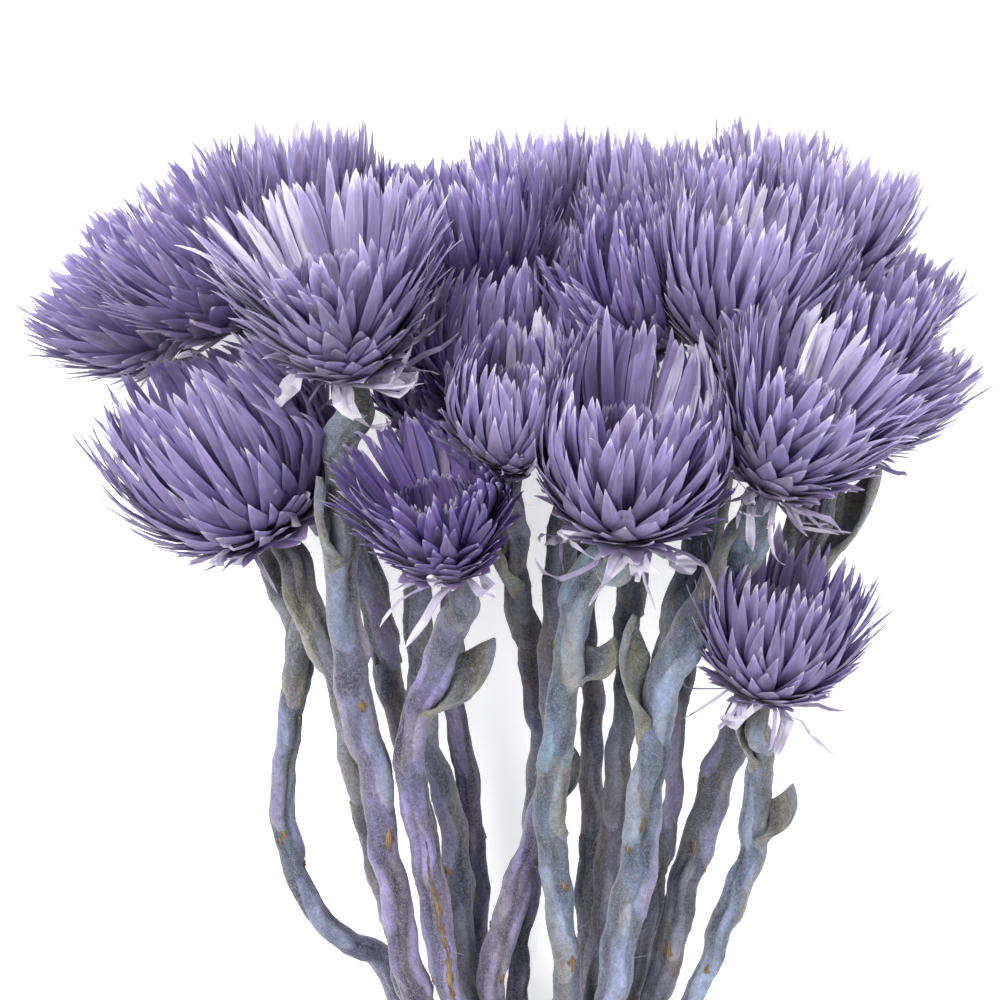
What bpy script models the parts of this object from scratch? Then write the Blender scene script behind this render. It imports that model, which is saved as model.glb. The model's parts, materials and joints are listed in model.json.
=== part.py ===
"""A bunch of dried everlasting flowers, lying on its side on a flat surface.

Metres, +Z up. The heads point along +Y, the cut stem ends along -Y, and Z = 0 is the surface that the
bunch lies on. Woolly stems, some of them forked, each end in a papery head of pointed bracts, and one
rubber band holds the stems together.
"""

import math
import random

import bmesh
import bpy
import numpy as np
from mathutils import Matrix, Vector

MM = 0.001

# The bunch as a whole
TIE_Y = -70 * MM  # where the rubber band holds the stems
STEM_END_Y = -142 * MM  # where the longest stem is cut
RAGGED = 9 * MM  # how much shorter the shortest one is
SEED = 500  # of the small differences between bracts
SPREAD_Y = -18 * MM  # below this the stems run together towards the band
FAN_Y = 40 * MM  # above this each stem makes for its own head
CENTRE_HEIGHTS = {STEM_END_Y: 12 * MM, TIE_Y: 11.6 * MM, SPREAD_Y: 25 * MM, FAN_Y: 38 * MM}
DEPTH_SPREADS = {STEM_END_Y: 8 * MM, TIE_Y: 7 * MM, SPREAD_Y: 11 * MM, FAN_Y: 18 * MM}
TIE_X = 8 * MM
TIE_NARROWING = 0.28  # how far the stems' sideways spread shrinks at the band
END_NARROWING = 0.42

# Clearances between separate pieces
GAP = 0.35 * MM
CELL_GAP = 0.2 * MM  # from each head to the plane that it shares with a neighbour
SEAT_GAP = 0.3 * MM  # from a head's base to the top of its stem
STEM_CLEAR = 0.45 * MM  # from a bract to a stem
FLOOR_CLEAR = 0.1 * MM  # from a stem to the surface below
INSET = 0.5 * MM  # each bract keeps up to this much further from a shared plane
WELD = 0.01 * MM  # points nearer than this become one

# Stems
POINT_STEP = 3.5 * MM  # spacing of the points that settle the stems' paths
STEM_NECK_RUN = 7 * MM  # how far a stem runs on straight from its head
BRANCH_NECK_RUN = 6 * MM
FAN_RUN = 20 * MM  # over at least this much of its way to the head, a stem rises out of the fan
STEM_BEVEL = 1  # six sides
STEM_STEP = 17 * MM  # spacing of the rings of a stem's solid
NECK = 0.80  # a stem's radius where it meets its head, beside its radius just below
NECK_PLACES = (0.0, 4 * MM, 11 * MM)
WAIST = 0.78  # a stem's radius at the band, beside its radius under the head
LUMP = 0.10  # how far the woolly leaf bases swell a stem
LUMP_TURN = 2.4  # radians from one ring to the next
FORK_CLEAR = 14 * MM  # a branch and its own stem may touch this near their fork
CAPSULE_STEP = 4 * MM  # length of the stretches of stem that bracts are bent clear of

# Settling the stems clear of each other
SETTLE_ROUNDS = 220
PAIR_ROUNDS = 12  # rounds between two searches for points that may touch
PAIR_REACH = 6 * MM
PUSH = 0.8  # of what two stems lack, in one round
GIVE = (0.6, 0.3, 1.0)  # how easily stems give way across, along and in height
HOLD = 0.995  # of a point's shift, kept from round to round

# Band
BAND_WIDTH = 3.2 * MM
BAND_THICK = 1.3 * MM
BAND_SIDES = 30

# Bracts
BRACT_THICK = 0.034  # of a bract's length scale
BRACT_LEAST_THICK = 0.7 * MM
BRACT_ROOT_WIDTH = 0.42  # of the bract's greatest width
BRACT_WIDEST = 0.62  # where along its length a bract is widest
BRACT_STEPS = 8
CURL = 0.8  # below 1, a bract curls most near its root
BEND_ROUNDS = 6
LEAST_STRETCH = 0.45  # a bract that is squeezed to less than this of its length is left out
TEST_PLACES = (0.0, 0.2, 0.4, 0.6, 0.8, 1.0)  # where each stretch of a bract is tested

# Differences between bracts, to either side
LENGTH_VARIATION = 0.08
ROOT_ANGLE_VARIATION = 0.06
TIP_ANGLE_VARIATION = 7  # degrees
TURN_VARIATION = 0.12  # of the space between two bracts

# Space that a head fills, as shares of its bract length
MIDDLE_HEIGHT = 0.45
CLOSED_RADIUS = 0.45
OPEN_RADIUS = 0.30  # more than that, when fully open
NEIGHBOUR_REACH = 2.6  # heads further apart than this many times their radii share no plane
STEM_REACH = 2.4  # stems within this many radii of a head's middle, and 6 mm more, are avoided
STEM_REACH_MORE = 6 * MM

# Core of a head: radius and height pairs from the top, as shares of its bract length
CORE_SIDES = 6
CORE_PROFILE = ((0, 0.45), (0.18, 0.38), (0.27, 0.24), (0.22, 0.09), (0.10, 0), (0, 0))
CORE_FOOT_REACH = 0.15
CORE_WIDEST_HEIGHT = 0.25
CORE_WIDEST_REACH = 0.28

# Rows of bracts from the base of a head to its middle: how many, height and radius of the root,
# angle from the head's axis at the root and at the tip, length and width. Sizes are shares of
# the head's bract length.
FULL_ROWS = (
    (5, 0.09, 0.10, 96, 84, 0.46, 0.21),
    (7, 0.13, 0.12, 68, 16, 0.88, 0.19),
    (7, 0.18, 0.11, 40, 6, 1.00, 0.18),
    (3, 0.22, 0.05, 18, 0, 0.86, 0.16),
)
PLAIN_ROWS = (
    (4, 0.09, 0.10, 94, 76, 0.46, 0.21),
    (6, 0.14, 0.12, 64, 16, 0.90, 0.19),
    (5, 0.19, 0.10, 36, 6, 1.00, 0.18),
    (2, 0.22, 0.04, 16, 0, 0.84, 0.16),
)

# Heads: foot of the head in mm, lean of its axis to the right of +Y and rise above the surface
# in degrees, bract length in mm, how open it is, and its rows
HEADS = {
    "head_01": ((-60, 99, 17), -51, 2, 27, 0.86, FULL_ROWS),
    "head_02": ((-47, 103, 42), -36, 14, 29, 0.82, FULL_ROWS),
    "head_03": ((-37, 110, 13), -4, 3, 27, 0.72, FULL_ROWS),
    "head_04": ((-26, 93, 70), -10, 28, 34, 1.02, FULL_ROWS),
    "head_05": ((-41, 67, 50), -30, 14, 36, 0.92, FULL_ROWS),
    "head_06": ((-13, 84, 46), -6, 30, 17, 0.95, PLAIN_ROWS),
    "head_07": ((-8, 58, 71), -14, 30, 30, 1.02, FULL_ROWS),
    "head_08": ((-3, 103, 42), -10, 12, 28, 0.66, PLAIN_ROWS),
    "head_09": ((8, 114, 11), -4, 6, 24, 0.66, PLAIN_ROWS),
    "head_10": ((2, 78, 74), 3, 34, 23, 0.66, FULL_ROWS),
    "head_11": ((0, 85, 54), -4, 8, 27, 0.60, PLAIN_ROWS),
    "head_12": ((14, 86, 54), 10, 8, 26, 0.50, PLAIN_ROWS),
    "head_13": ((21, 65, 74), 8, 28, 33, 0.92, FULL_ROWS),
    "head_14": ((25, 112, 12), 0, 2, 25, 0.70, PLAIN_ROWS),
    "head_15": ((50, 115, 12), 6, 4, 23.5, 0.74, FULL_ROWS),
    "head_16": ((40, 96, 58), 14, 18, 29, 0.74, FULL_ROWS),
    "head_17": ((25, 98, 54), 2, 12, 19, 0.66, PLAIN_ROWS),
    "head_18": ((47, 73, 74), 24, 30, 31, 0.92, FULL_ROWS),
    "head_19": ((66, 97, 13), 26, 2, 25, 0.76, FULL_ROWS),
    "head_20": ((62, 81, 44), 34, 10, 27.5, 0.62, FULL_ROWS),
    "head_21": ((47, 36, 56), 12, 20, 27, 0.88, FULL_ROWS),
    "head_22": ((25, 107, 34), 0, 14, 20, 0.80, PLAIN_ROWS),
    "head_23": ((-16, 113, 11.5), 2, 4, 20, 0.70, PLAIN_ROWS),
    "head_24": ((59, 109, 34), 14, 10, 24, 0.74, PLAIN_ROWS),
    "head_25": ((12, 101, 36), 4, 8, 20, 0.70, PLAIN_ROWS),
    "head_26": ((39, 113, 32), 4, 10, 21, 0.70, PLAIN_ROWS),
    "head_27": ((62, 90, 56), 16, 18, 22, 0.64, PLAIN_ROWS),
}

# Stems: the head that each carries, radius under the head in mm, how far forward it lies in the
# bunch (1 is the front), and points that its middle line passes, from the head down, in mm
STEMS = {
    "stem_01": ("head_01", 2.5, 0.1, ((-53, 85), (-43, 62), (-37, 47), (-37, 38), (-39, 26), (-40, 17),
                                      (-39, 8), (-37, 1), (-33, -5), (-27, -11), (-19, -18))),
    "stem_02": ("head_05", 2.8, 0.5, ((-36, 53), (-32, 45), (-29, 37), (-26, 25), (-24, 12), (-20, -2),
                                      (-16, -18))),
    "stem_03": ("head_04", 3.2, 0.9, ((-28, 83), (-28, 68), (-28, 54), (-26, 38), (-23, 26), (-21, 14),
                                      (-18, 0), (-15, -18))),
    "stem_04": ("head_07", 3.0, 1.0, ((-9, 50), (-11, 42), (-16, 32), (-17, 20), (-15, 8), (-13, -4),
                                      (-10, -18))),
    "stem_05": ("head_06", 2.6, 0.1, ((-15, 72), (-15, 54), (-14, 32), (-10, 17), (-8, 6), (-6, -18))),
    "stem_06": ("head_08", 2.2, -0.4, ((-3, 86), (-6, 68), (-8, 54), (-9, 40), (-8, 29), (-6, 17),
                                       (-4, 4), (-4, -18))),
    "stem_07": ("head_12", 2.9, 0.5, ((12, 75), (11, 60), (10, 46), (10, 29), (8, 14), (4, 3), (1, -8),
                                      (-2, -18))),
    "stem_08": ("head_10", 2.3, -0.1, ((2, 69), (3, 60), (5, 48), (7, 32), (7, 15), (6, 0), (3, -18))),
    "stem_09": ("head_13", 3.2, 0.9, ((18, 61), (14, 52), (12, 40), (10, 29), (9, 18), (10, 8), (11, -3),
                                      (12, -18))),
    "stem_10": ("head_25", 2.3, -0.7, ((13, 86), (15, 65), (16, 47), (17, 29), (17, 9), (16, -18))),
    "stem_11": ("head_18", 3.5, 0.9, ((44, 65), (37, 53), (31, 43), (28, 35), (27, 25), (26, 14), (24, 2),
                                      (20, -18))),
    "stem_12": ("head_22", 2.6, 0.1, ((26, 90), (25, 72), (24, 54), (23, 38), (22, 26), (21, 14),
                                      (18, -18))),
    "stem_13": ("head_15", 2.0, -0.6, ((47, 101), (43, 81), (38, 61), (35, 46), (33, 32), (32, 20),
                                       (31, 9), (26, -18))),
    "stem_14": ("head_20", 3.2, 0.1, ((60, 72), (54, 54), (48, 38), (43, 27), (39, 19), (36, 8), (33, -3),
                                      (30, -18))),
    "stem_15": ("head_21", 2.5, 0.6, ((47, 29), (47, 18), (46, 8), (43, 0), (40, -8), (36, -18))),
    "stem_16": ("head_02", 2.5, -0.6, ((-41, 90), (-32, 72), (-24, 54), (-20, 38), (-17, 25), (-14, 10),
                                       (-9, -18))),
    "stem_17": ("head_19", 2.3, -0.7, ((63, 84), (55, 62), (48, 42), (42, 27), (37, 12), (33, -2),
                                       (27, -18))),
}

# Side branches: their head, the stem that they fork from and where, radius in mm, and points
BRANCHES = {
    "branch_03": ("head_03", "stem_16", 40, 2.3, ((-35, 92), (-29, 74), (-24, 58))),
    "branch_23": ("head_23", "stem_05", 46, 2.1, ((-17, 96), (-17, 76), (-16, 60))),
    "branch_09": ("head_09", "stem_10", 58, 2.2, ((8, 98), (11, 78))),
    "branch_11": ("head_11", "stem_08", 44, 2.1, ((0, 74), (2, 60))),
    "branch_14": ("head_14", "stem_12", 50, 2.2, ((25, 95), (25, 76), (24, 62))),
    "branch_17": ("head_17", "stem_12", 68, 2.0, ((26, 88),)),
    "branch_26": ("head_26", "stem_13", 66, 2.1, ((40, 98), (40, 82))),
    "branch_24": ("head_24", "stem_17", 60, 2.1, ((59, 95), (57, 78))),
    "branch_27": ("head_27", "stem_14", 58, 2.0, ((61, 78), (58, 68))),
    "branch_16": ("head_16", "stem_11", 40, 2.8, ((38, 82), (36, 68), (33, 54))),
}

# Loose woolly leaves: their stem, place along +Y, turn about the stem, length, width, spread
LEAVES = (
    ("stem_09", 42, 10, 14, 6.5, 42),
    ("stem_09", 16, -20, 13, 6.0, 24),
    ("stem_15", 10, 0, 13, 6.5, 34),
    ("stem_14", 60, -10, 22, 8.0, 22),
    ("stem_04", 36, 20, 17, 7.0, 36),
    ("stem_03", 62, 150, 18, 7.0, 22),
    ("stem_11", 30, 190, 14, 7.0, 22),
    ("stem_11", 56, 170, 15, 6.5, 30),
    ("stem_01", 40, 180, 16, 6.0, 22),
    ("stem_15", 24, 170, 12, 6.0, 26),
    ("stem_12", 60, -100, 16, 6.5, 30),
    ("stem_16", 70, -90, 18, 6.5, 26),
    ("stem_17", 66, -60, 16, 6.5, 30),
    ("stem_08", 62, 60, 13, 5.5, 28),
)
LEAF_THICK = 1.1 * MM
LEAF_ROOT = 0.3  # of the stem's radius, from its middle line
LEAF_SHAPE = ((0.0, 0.5), (0.35, 0.9), (0.7, 1.0), (1.0, 0.0))  # places along it and shares of its width
LEAF_LEAN = 1.3  # times its spread at the root
LEAF_CURL = 0.6  # and this much less at the tip

LILAC = (0.245, 0.190, 0.480)
VIOLET = (0.205, 0.140, 0.450)
WOOL = (0.215, 0.235, 0.290)
TAN = (0.560, 0.420, 0.240)
VIOLET_HEADS = {"head_06", "head_07", "head_08", "head_17", "head_23", "head_25"}


def along(table, y):
    """Straight-line reading of a table of values by place along the bunch."""
    places = sorted(table)
    return float(np.interp(y, places, [table[place] for place in places]))


def unit(vector):
    """The vector at length 1."""
    return vector / np.linalg.norm(vector)


def axis_of(head):
    """The way that a head points."""
    _, lean, rise, _, _, _ = HEADS[head]
    lean, rise = math.radians(lean), math.radians(rise)
    return np.array([math.sin(lean) * math.cos(rise), math.cos(lean) * math.cos(rise), math.sin(rise)])


def foot_of(head):
    """Where a head meets its stem."""
    return np.array(HEADS[head][0]) * MM


def smooth_line(points, step):
    """Points about step apart on a Catmull-Rom curve through the given points."""
    points = np.array(points)
    padded = np.vstack([2 * points[0] - points[1], points, 2 * points[-1] - points[-2]])
    line = [points[0]]
    for before, start, end, after in zip(padded, padded[1:], padded[2:], padded[3:]):
        pieces = max(1, round(np.linalg.norm(end - start) / step))
        for t in np.linspace(0, 1, pieces + 1)[1:]:
            line.append(0.5 * (2 * start + (end - before) * t
                               + (2 * before - 5 * start + 4 * end - after) * t**2
                               + (3 * start - before - 3 * end + after) * t**3))
    return np.array(line)


def lengths_along(line):
    """Length of the line from its start to each of its points."""
    return np.concatenate([[0], np.cumsum(np.linalg.norm(np.diff(line, axis=0), axis=1))])


def stem_height(depth, y):
    """How high a stem lies at a place along the bunch, from how far forward it is."""
    return along(CENTRE_HEIGHTS, y) + depth * along(DEPTH_SPREADS, y)


def stem_route(head, depth, points, cut):
    """Points of a stem's middle line: head, fan, run to the band, and cut end."""
    foot, axis = foot_of(head), axis_of(head)
    route = [foot - axis * SEAT_GAP, foot - axis * STEM_NECK_RUN]
    low = min(FAN_Y, foot[1] - FAN_RUN)
    for x, y in points:
        x, y = x * MM, y * MM
        share = np.clip((y - low) / (foot[1] - low), 0, 1)
        z = (1 - share) * stem_height(depth, min(y, low)) + share * route[1][2]
        route.append(np.array([x, y, z]))
    offset = route[-1][0] - TIE_X
    for y, narrowing in ((TIE_Y, TIE_NARROWING), (cut, END_NARROWING)):
        route.append(np.array([TIE_X + offset * narrowing, y, stem_height(depth, y)]))
    return smooth_line(route, POINT_STEP)


def branch_route(head, parent_line, fork_y, points):
    """Points of a side branch's middle line, from its head down to its fork."""
    foot, axis = foot_of(head), axis_of(head)
    fork = parent_line[np.argmin(np.abs(parent_line[:, 1] - fork_y * MM))]
    route = [foot - axis * SEAT_GAP, foot - axis * BRANCH_NECK_RUN]
    for x, y in points:
        share = (y * MM - fork[1]) / (foot[1] - fork[1])
        route.append(np.array([x * MM, y * MM, fork[2] + share * (route[1][2] - fork[2])]))
    return smooth_line(route + [fork], POINT_STEP)


class Strand:
    """One stem or branch while the stems settle clear of each other."""

    def __init__(self, name, line, radius, parent=None):
        self.name, self.line, self.radius, self.parent = name, line, radius, parent
        self.target = line.copy()

    def radii(self):
        """Radius at each point: full under the head and slimmer towards the band."""
        narrowing = np.clip((self.line[:, 1] - TIE_Y) / (FAN_Y - TIE_Y), 0, 1)
        return self.radius * (WAIST + (1 - WAIST) * narrowing)

    def stations(self):
        """Middle points and radii of the rings of this strand's solid, from the head down."""
        lengths = lengths_along(self.line)
        start, end = NECK_PLACES[-1], lengths[-1]
        pieces = max(1, round((end - start) / STEM_STEP))
        places = list(NECK_PLACES) + [start + (end - start) * k / pieces for k in range(1, pieces + 1)]
        points = np.stack([np.interp(places, lengths, self.line[:, k]) for k in range(3)], axis=1)
        radii = np.interp(places, lengths, self.radii())
        radii[0] *= NECK
        return points, radii


def touching_pairs(points, apart, least):
    """Index pairs of points that may come to touch in the next rounds."""
    squares = (points**2).sum(axis=1)
    distance = np.sqrt(np.maximum(squares[:, None] + squares[None, :] - 2 * points @ points.T, 0))
    return np.nonzero(np.triu(apart & (distance < least + PAIR_REACH)))


def settle(strands):
    """Moves the strands' points apart until no two stems touch, with their heads' ends kept."""
    owner = np.concatenate([[k] * len(s.line) for k, s in enumerate(strands)])
    radii = np.concatenate([s.radii() for s in strands])
    least = (radii[:, None] + radii[None, :]) * (1 + LUMP) + 2 * GAP
    apart = owner[:, None] != owner[None, :]
    names = [s.name for s in strands]
    points = np.concatenate([s.line for s in strands])
    for k, strand in enumerate(strands):
        if strand.parent is None:
            continue
        near = np.linalg.norm(points - strand.line[-1], axis=1) < FORK_CLEAR
        family = np.isin(owner, [k, names.index(strand.parent)]) & near
        apart &= ~(family[:, None] & family[None, :])
    give = np.array(GIVE)
    for turn in range(SETTLE_ROUNDS):
        points = np.concatenate([s.line for s in strands])
        if turn % PAIR_ROUNDS == 0:
            first, second = touching_pairs(points, apart, least)
        offset = points[first] - points[second]
        distance = np.linalg.norm(offset, axis=1) + 1e-9
        lack = np.maximum(least[first, second] - distance, 0)
        push = offset * (PUSH * lack / distance)[:, None]
        total, count = np.zeros_like(points), np.zeros(len(points))
        np.add.at(total, first, push)
        np.add.at(total, second, -push)
        np.add.at(count, first, lack > 0)
        np.add.at(count, second, lack > 0)
        points = points + total / np.maximum(count, 1)[:, None] * give
        points[:, 2] = np.maximum(points[:, 2], radii * (1 + LUMP) + FLOOR_CLEAR)
        start = 0
        for strand in strands:
            shift = points[start:start + len(strand.line)] - strand.target
            start += len(shift)
            smooth = shift.copy()
            smooth[1:-1] = 0.5 * shift[1:-1] + 0.25 * (shift[:-2] + shift[2:])
            smooth[:2] = 0
            strand.line = strand.target + smooth * HOLD
        for strand in strands:
            if strand.parent is not None:
                parent = strands[names.index(strand.parent)].line
                strand.line[-1] = parent[np.argmin(np.linalg.norm(parent - strand.line[-1], axis=1))]
                strand.line[-2] = 0.5 * (strand.line[-1] + strand.line[-3])


def stem_lines():
    """The settled middle line of each stem and branch."""
    strands = []
    draw = random.Random(SEED)
    for name, (head, radius, depth, points) in STEMS.items():
        cut = STEM_END_Y + draw.uniform(0, RAGGED)
        strands.append(Strand(name, stem_route(head, depth, points, cut), radius * MM))
    by_name = {s.name: s for s in strands}
    for name, (head, parent, fork_y, radius, points) in BRANCHES.items():
        line = branch_route(head, by_name[parent].line, fork_y, points)
        strands.append(Strand(name, line, radius * MM, parent))
    settle(strands)
    return {s.name: s for s in strands}


def middle_of(head):
    """The middle of the space that a head fills, and its rough radius."""
    _, _, _, length, openness, _ = HEADS[head]
    middle = foot_of(head) + axis_of(head) * MIDDLE_HEIGHT * length * MM
    return middle, length * MM * (CLOSED_RADIUS + OPEN_RADIUS * openness)


def core_reach(head, normal):
    """How far a head's core reaches in a direction."""
    _, _, _, length, openness, _ = HEADS[head]
    foot, length = foot_of(head), length * MM
    widest = foot + axis_of(head) * CORE_WIDEST_HEIGHT * length
    return max(foot @ normal + CORE_FOOT_REACH * length,
               widest @ normal + CORE_WIDEST_REACH * length * swell_of(openness))


def swell_of(openness):
    """How wide a head's core is, beside that of a fully open head."""
    return 0.55 + 0.45 * openness


def cell_of(head):
    """Planes that keep a head in its own space: its neighbours' sides and the surface below."""
    middle, radius = middle_of(head)
    planes = [(np.array([0.0, 0.0, -1.0]), 0.0)]
    for other in HEADS:
        if other == head:
            continue
        there, other_radius = middle_of(other)
        distance = np.linalg.norm(there - middle)
        if distance > NEIGHBOUR_REACH * (radius + other_radius):
            continue
        normal = (there - middle) / distance
        shared = normal @ middle + (distance**2 + radius**2 - other_radius**2) / (2 * distance)
        low, high = core_reach(head, normal), -core_reach(other, -normal)
        shared = (low + high) / 2 if low > high else np.clip(shared, low, high)
        planes.append((normal, float(shared) - CELL_GAP))
    return planes


def capsules_of(strands, middle, reach):
    """Straight stretches of every stem near a point: starts, spans and radii, with round ends."""
    starts, spans, radii = [], [], []
    for strand in strands.values():
        points, sizes = strand.stations()
        points[0] += (points[1] - points[0]) * min(1, sizes[0] / np.linalg.norm(points[1] - points[0]))
        for a, b, r, s in zip(points, points[1:], sizes, sizes[1:]):
            pieces = max(1, round(np.linalg.norm(b - a) / CAPSULE_STEP))
            for k in range(pieces):
                low, high = a + (b - a) * k / pieces, a + (b - a) * (k + 1) / pieces
                if np.linalg.norm((low + high) / 2 - middle) < reach:
                    starts.append(low)
                    spans.append(high - low)
                    radii.append(max(r, s) * (1 + LUMP))
    return np.array(starts), np.array(spans), np.array(radii)


def offsets_from(capsules, points):
    """From each stem stretch's middle line to each point, and how far the point is clear of it."""
    starts, spans, radii = capsules
    ways = points[:, None, :] - starts[None, :, :]
    squares = np.maximum((spans**2).sum(axis=1), 1e-14)
    share = np.clip((ways * spans[None, :, :]).sum(axis=2) / squares[None, :], 0, 1)
    offsets = ways - share[:, :, None] * spans[None, :, :]
    return offsets, np.linalg.norm(offsets, axis=2) - radii[None, :]


class Ring:
    """One section of a bract or leaf: its centre, half width, way across, back and thickness."""

    def __init__(self, centre, half, side, back, thick):
        self.centre, self.half, self.side, self.back, self.thick = centre, half, side, back, thick

    def points(self):
        """Two corners on the inner face and one on the ridge of the back, or just a tip."""
        if self.half == 0:
            return np.array([self.centre])
        inner = self.centre - self.back * self.thick / 2
        return np.array([inner + self.side * self.half, inner - self.side * self.half,
                         self.centre + self.back * self.thick / 2])


def bract_rings(foot, axes, row, turn, length, openness, draw):
    """The rings of a bract before it is bent clear, from its root to its tip."""
    _, root_height, root_radius, first, last, reach, width = row
    axis, u, v = axes
    out = u * math.cos(turn) + v * math.sin(turn)
    side = np.cross(axis, out)
    reach *= length * draw.uniform(1 - LENGTH_VARIATION, 1 + LENGTH_VARIATION)
    first *= openness * draw.uniform(1 - ROOT_ANGLE_VARIATION, 1 + ROOT_ANGLE_VARIATION)
    last = last * openness + draw.uniform(-TIP_ANGLE_VARIATION, TIP_ANGLE_VARIATION)
    thick = max(BRACT_THICK * length, BRACT_LEAST_THICK)
    half = width * length / 2
    spot = foot + axis * root_height * length + out * root_radius * length
    rings = []
    shares = {0: BRACT_ROOT_WIDTH, round(BRACT_STEPS * BRACT_WIDEST): 1.0, BRACT_STEPS: 0.0}
    for k in range(BRACT_STEPS + 1):
        angle = math.radians(first + (last - first) * (k / BRACT_STEPS) ** CURL)
        along_bract = axis * math.cos(angle) + out * math.sin(angle)
        back = np.cross(side, along_bract)
        if k in shares:
            rings.append(Ring(spot, half * shares[k], side, back, thick))
        spot = spot + along_bract * reach / BRACT_STEPS
    return rings


def bent_clear(rings, planes, capsules, inset):
    """The rings moved out of the neighbours' space and off the stems, or None if they can't be."""
    free = [second.centre - first.centre for first, second in zip(rings, rings[1:])]
    for _ in range(BEND_ROUNDS):
        for k, ring in enumerate(rings):
            tangent = unit(rings[min(k + 1, len(rings) - 1)].centre - rings[max(k - 1, 0)].centre)
            ring.side = unit(ring.side - tangent * (ring.side @ tangent))
            ring.back = np.cross(ring.side, tangent)
            for normal, limit in planes:
                over = (ring.points() @ normal).max() - limit + (inset if normal[2] > -1 else 0)
                if over > 0:
                    ring.centre = ring.centre - normal * over
        for ring in rings[1:]:
            offsets, clear = offsets_from(capsules, ring.centre[None, :])
            k = int(np.argmin(clear[0]))
            offset = offsets[0, k]
            distance = np.linalg.norm(offset) + 1e-9
            need = STEM_CLEAR + ring.thick + abs(ring.side @ offset) / distance * ring.half
            if clear[0, k] < need:
                ring.centre = ring.centre + offset / distance * (need - clear[0, k])
    for normal, limit in planes:
        if max((ring.points() @ normal).max() for ring in rings) > limit + 1e-7:
            return None
    tested = []
    for span, first, second in zip(free, rings, rings[1:]):
        if (second.centre - first.centre) @ span < LEAST_STRETCH * (span @ span):
            return None
        for share in TEST_PLACES:
            centre = first.centre * (1 - share) + second.centre * share
            half = first.half * (1 - share) + second.half * share
            tested += [centre + first.side * edge for edge in (-half, 0, half)]
    _, clear = offsets_from(capsules, np.array(tested))
    return rings if clear.min() > GAP + rings[0].thick / 2 else None


def mesh_object(name, points, faces, collection):
    """A mesh object of the given points and faces, with its normals outwards."""
    mesh = bpy.data.meshes.new(name)
    mesh.from_pydata([tuple(p) for p in points], [], faces)
    mesh.validate()
    work = bmesh.new()
    work.from_mesh(mesh)
    bmesh.ops.recalc_face_normals(work, faces=work.faces)
    work.to_mesh(mesh)
    work.free()
    made = bpy.data.objects.new(name, mesh)
    collection.objects.link(made)
    return made


def applied(source, collection):
    """A mesh object from an object with modifiers or a curve, which is then removed."""
    bpy.context.view_layer.update()
    graph = bpy.context.evaluated_depsgraph_get()
    name = source.name
    mesh = bpy.data.meshes.new_from_object(source.evaluated_get(graph))
    mesh.transform(source.matrix_world)
    bpy.data.objects.remove(source)
    work = bmesh.new()
    work.from_mesh(mesh)
    bmesh.ops.remove_doubles(work, verts=work.verts, dist=WELD)
    bmesh.ops.recalc_face_normals(work, faces=work.faces)
    work.to_mesh(mesh)
    work.free()
    made = bpy.data.objects.new(name, mesh)
    collection.objects.link(made)
    return made


def blade(name, rings, collection):
    """A closed solid through three-cornered rings, which ends in a point."""
    points = np.concatenate([ring.points() for ring in rings])
    faces = [(2, 1, 0)]
    for k in range(len(rings) - 1):
        low, high = 3 * k, 3 * (k + 1)
        for i in range(3):
            j = (i + 1) % 3
            if rings[k + 1].half == 0:
                faces.append((low + i, low + j, high))
            else:
                faces.append((low + i, low + j, high + j, high + i))
    return mesh_object(name, points, faces, collection)


def tube(name, points, radii, collection):
    """A curve with a round bevel, its radius given at each point, made a closed mesh."""
    curve = bpy.data.curves.new(name, "CURVE")
    curve.dimensions = "3D"
    curve.bevel_depth = 1.0
    curve.bevel_resolution = STEM_BEVEL
    curve.use_fill_caps = True
    spline = curve.splines.new("POLY")
    spline.points.add(len(points) - 1)
    for place, point, radius in zip(spline.points, points, radii):
        place.co = (*point, 1)
        place.radius = radius
    made = bpy.data.objects.new(name, curve)
    collection.objects.link(made)
    return applied(made, collection)


def turned(name, profile, collection):
    """A closed turned solid round its own Z, from radius and height pairs, top first."""
    mesh = bpy.data.meshes.new(name)
    mesh.from_pydata([(r, 0, z) for r, z in profile], [(k, k + 1) for k in range(len(profile) - 1)], [])
    made = bpy.data.objects.new(name, mesh)
    collection.objects.link(made)
    screw = made.modifiers.new("turn", "SCREW")
    screw.steps = screw.render_steps = CORE_SIDES
    screw.use_merge_vertices = True
    screw.merge_threshold = WELD
    return made


def joined(base, repeats):
    """One Boolean union of a solid with all the solids in a collection, applied."""
    modifier = base.modifiers.new("join", "BOOLEAN")
    modifier.operation = "UNION"
    modifier.operand_type = "COLLECTION"
    modifier.collection = repeats
    bpy.context.view_layer.update()
    graph = bpy.context.evaluated_depsgraph_get()
    mesh = bpy.data.meshes.new_from_object(base.evaluated_get(graph))
    base.modifiers.clear()
    base.data = mesh
    for helper in list(repeats.objects):
        bpy.data.objects.remove(helper)


def painted(made, paint):
    """Gives a solid its one material."""
    made.data.materials.clear()
    made.data.materials.append(paint)


def make_core(name, foot, axes, length, openness, collection):
    """The packed middle of a head: a narrow foot that swells to a bowl with a domed top."""
    swell = swell_of(openness)
    profile = [(r * length * (swell if z > 0 else 1), z * length) for r, z in CORE_PROFILE]
    core = turned(name, profile, collection)
    axis, u, v = (Vector(way) for way in axes)
    core.matrix_world = Matrix.Translation(foot) @ Matrix((u, v, axis)).transposed().to_4x4()
    return applied(core, collection)


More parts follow.
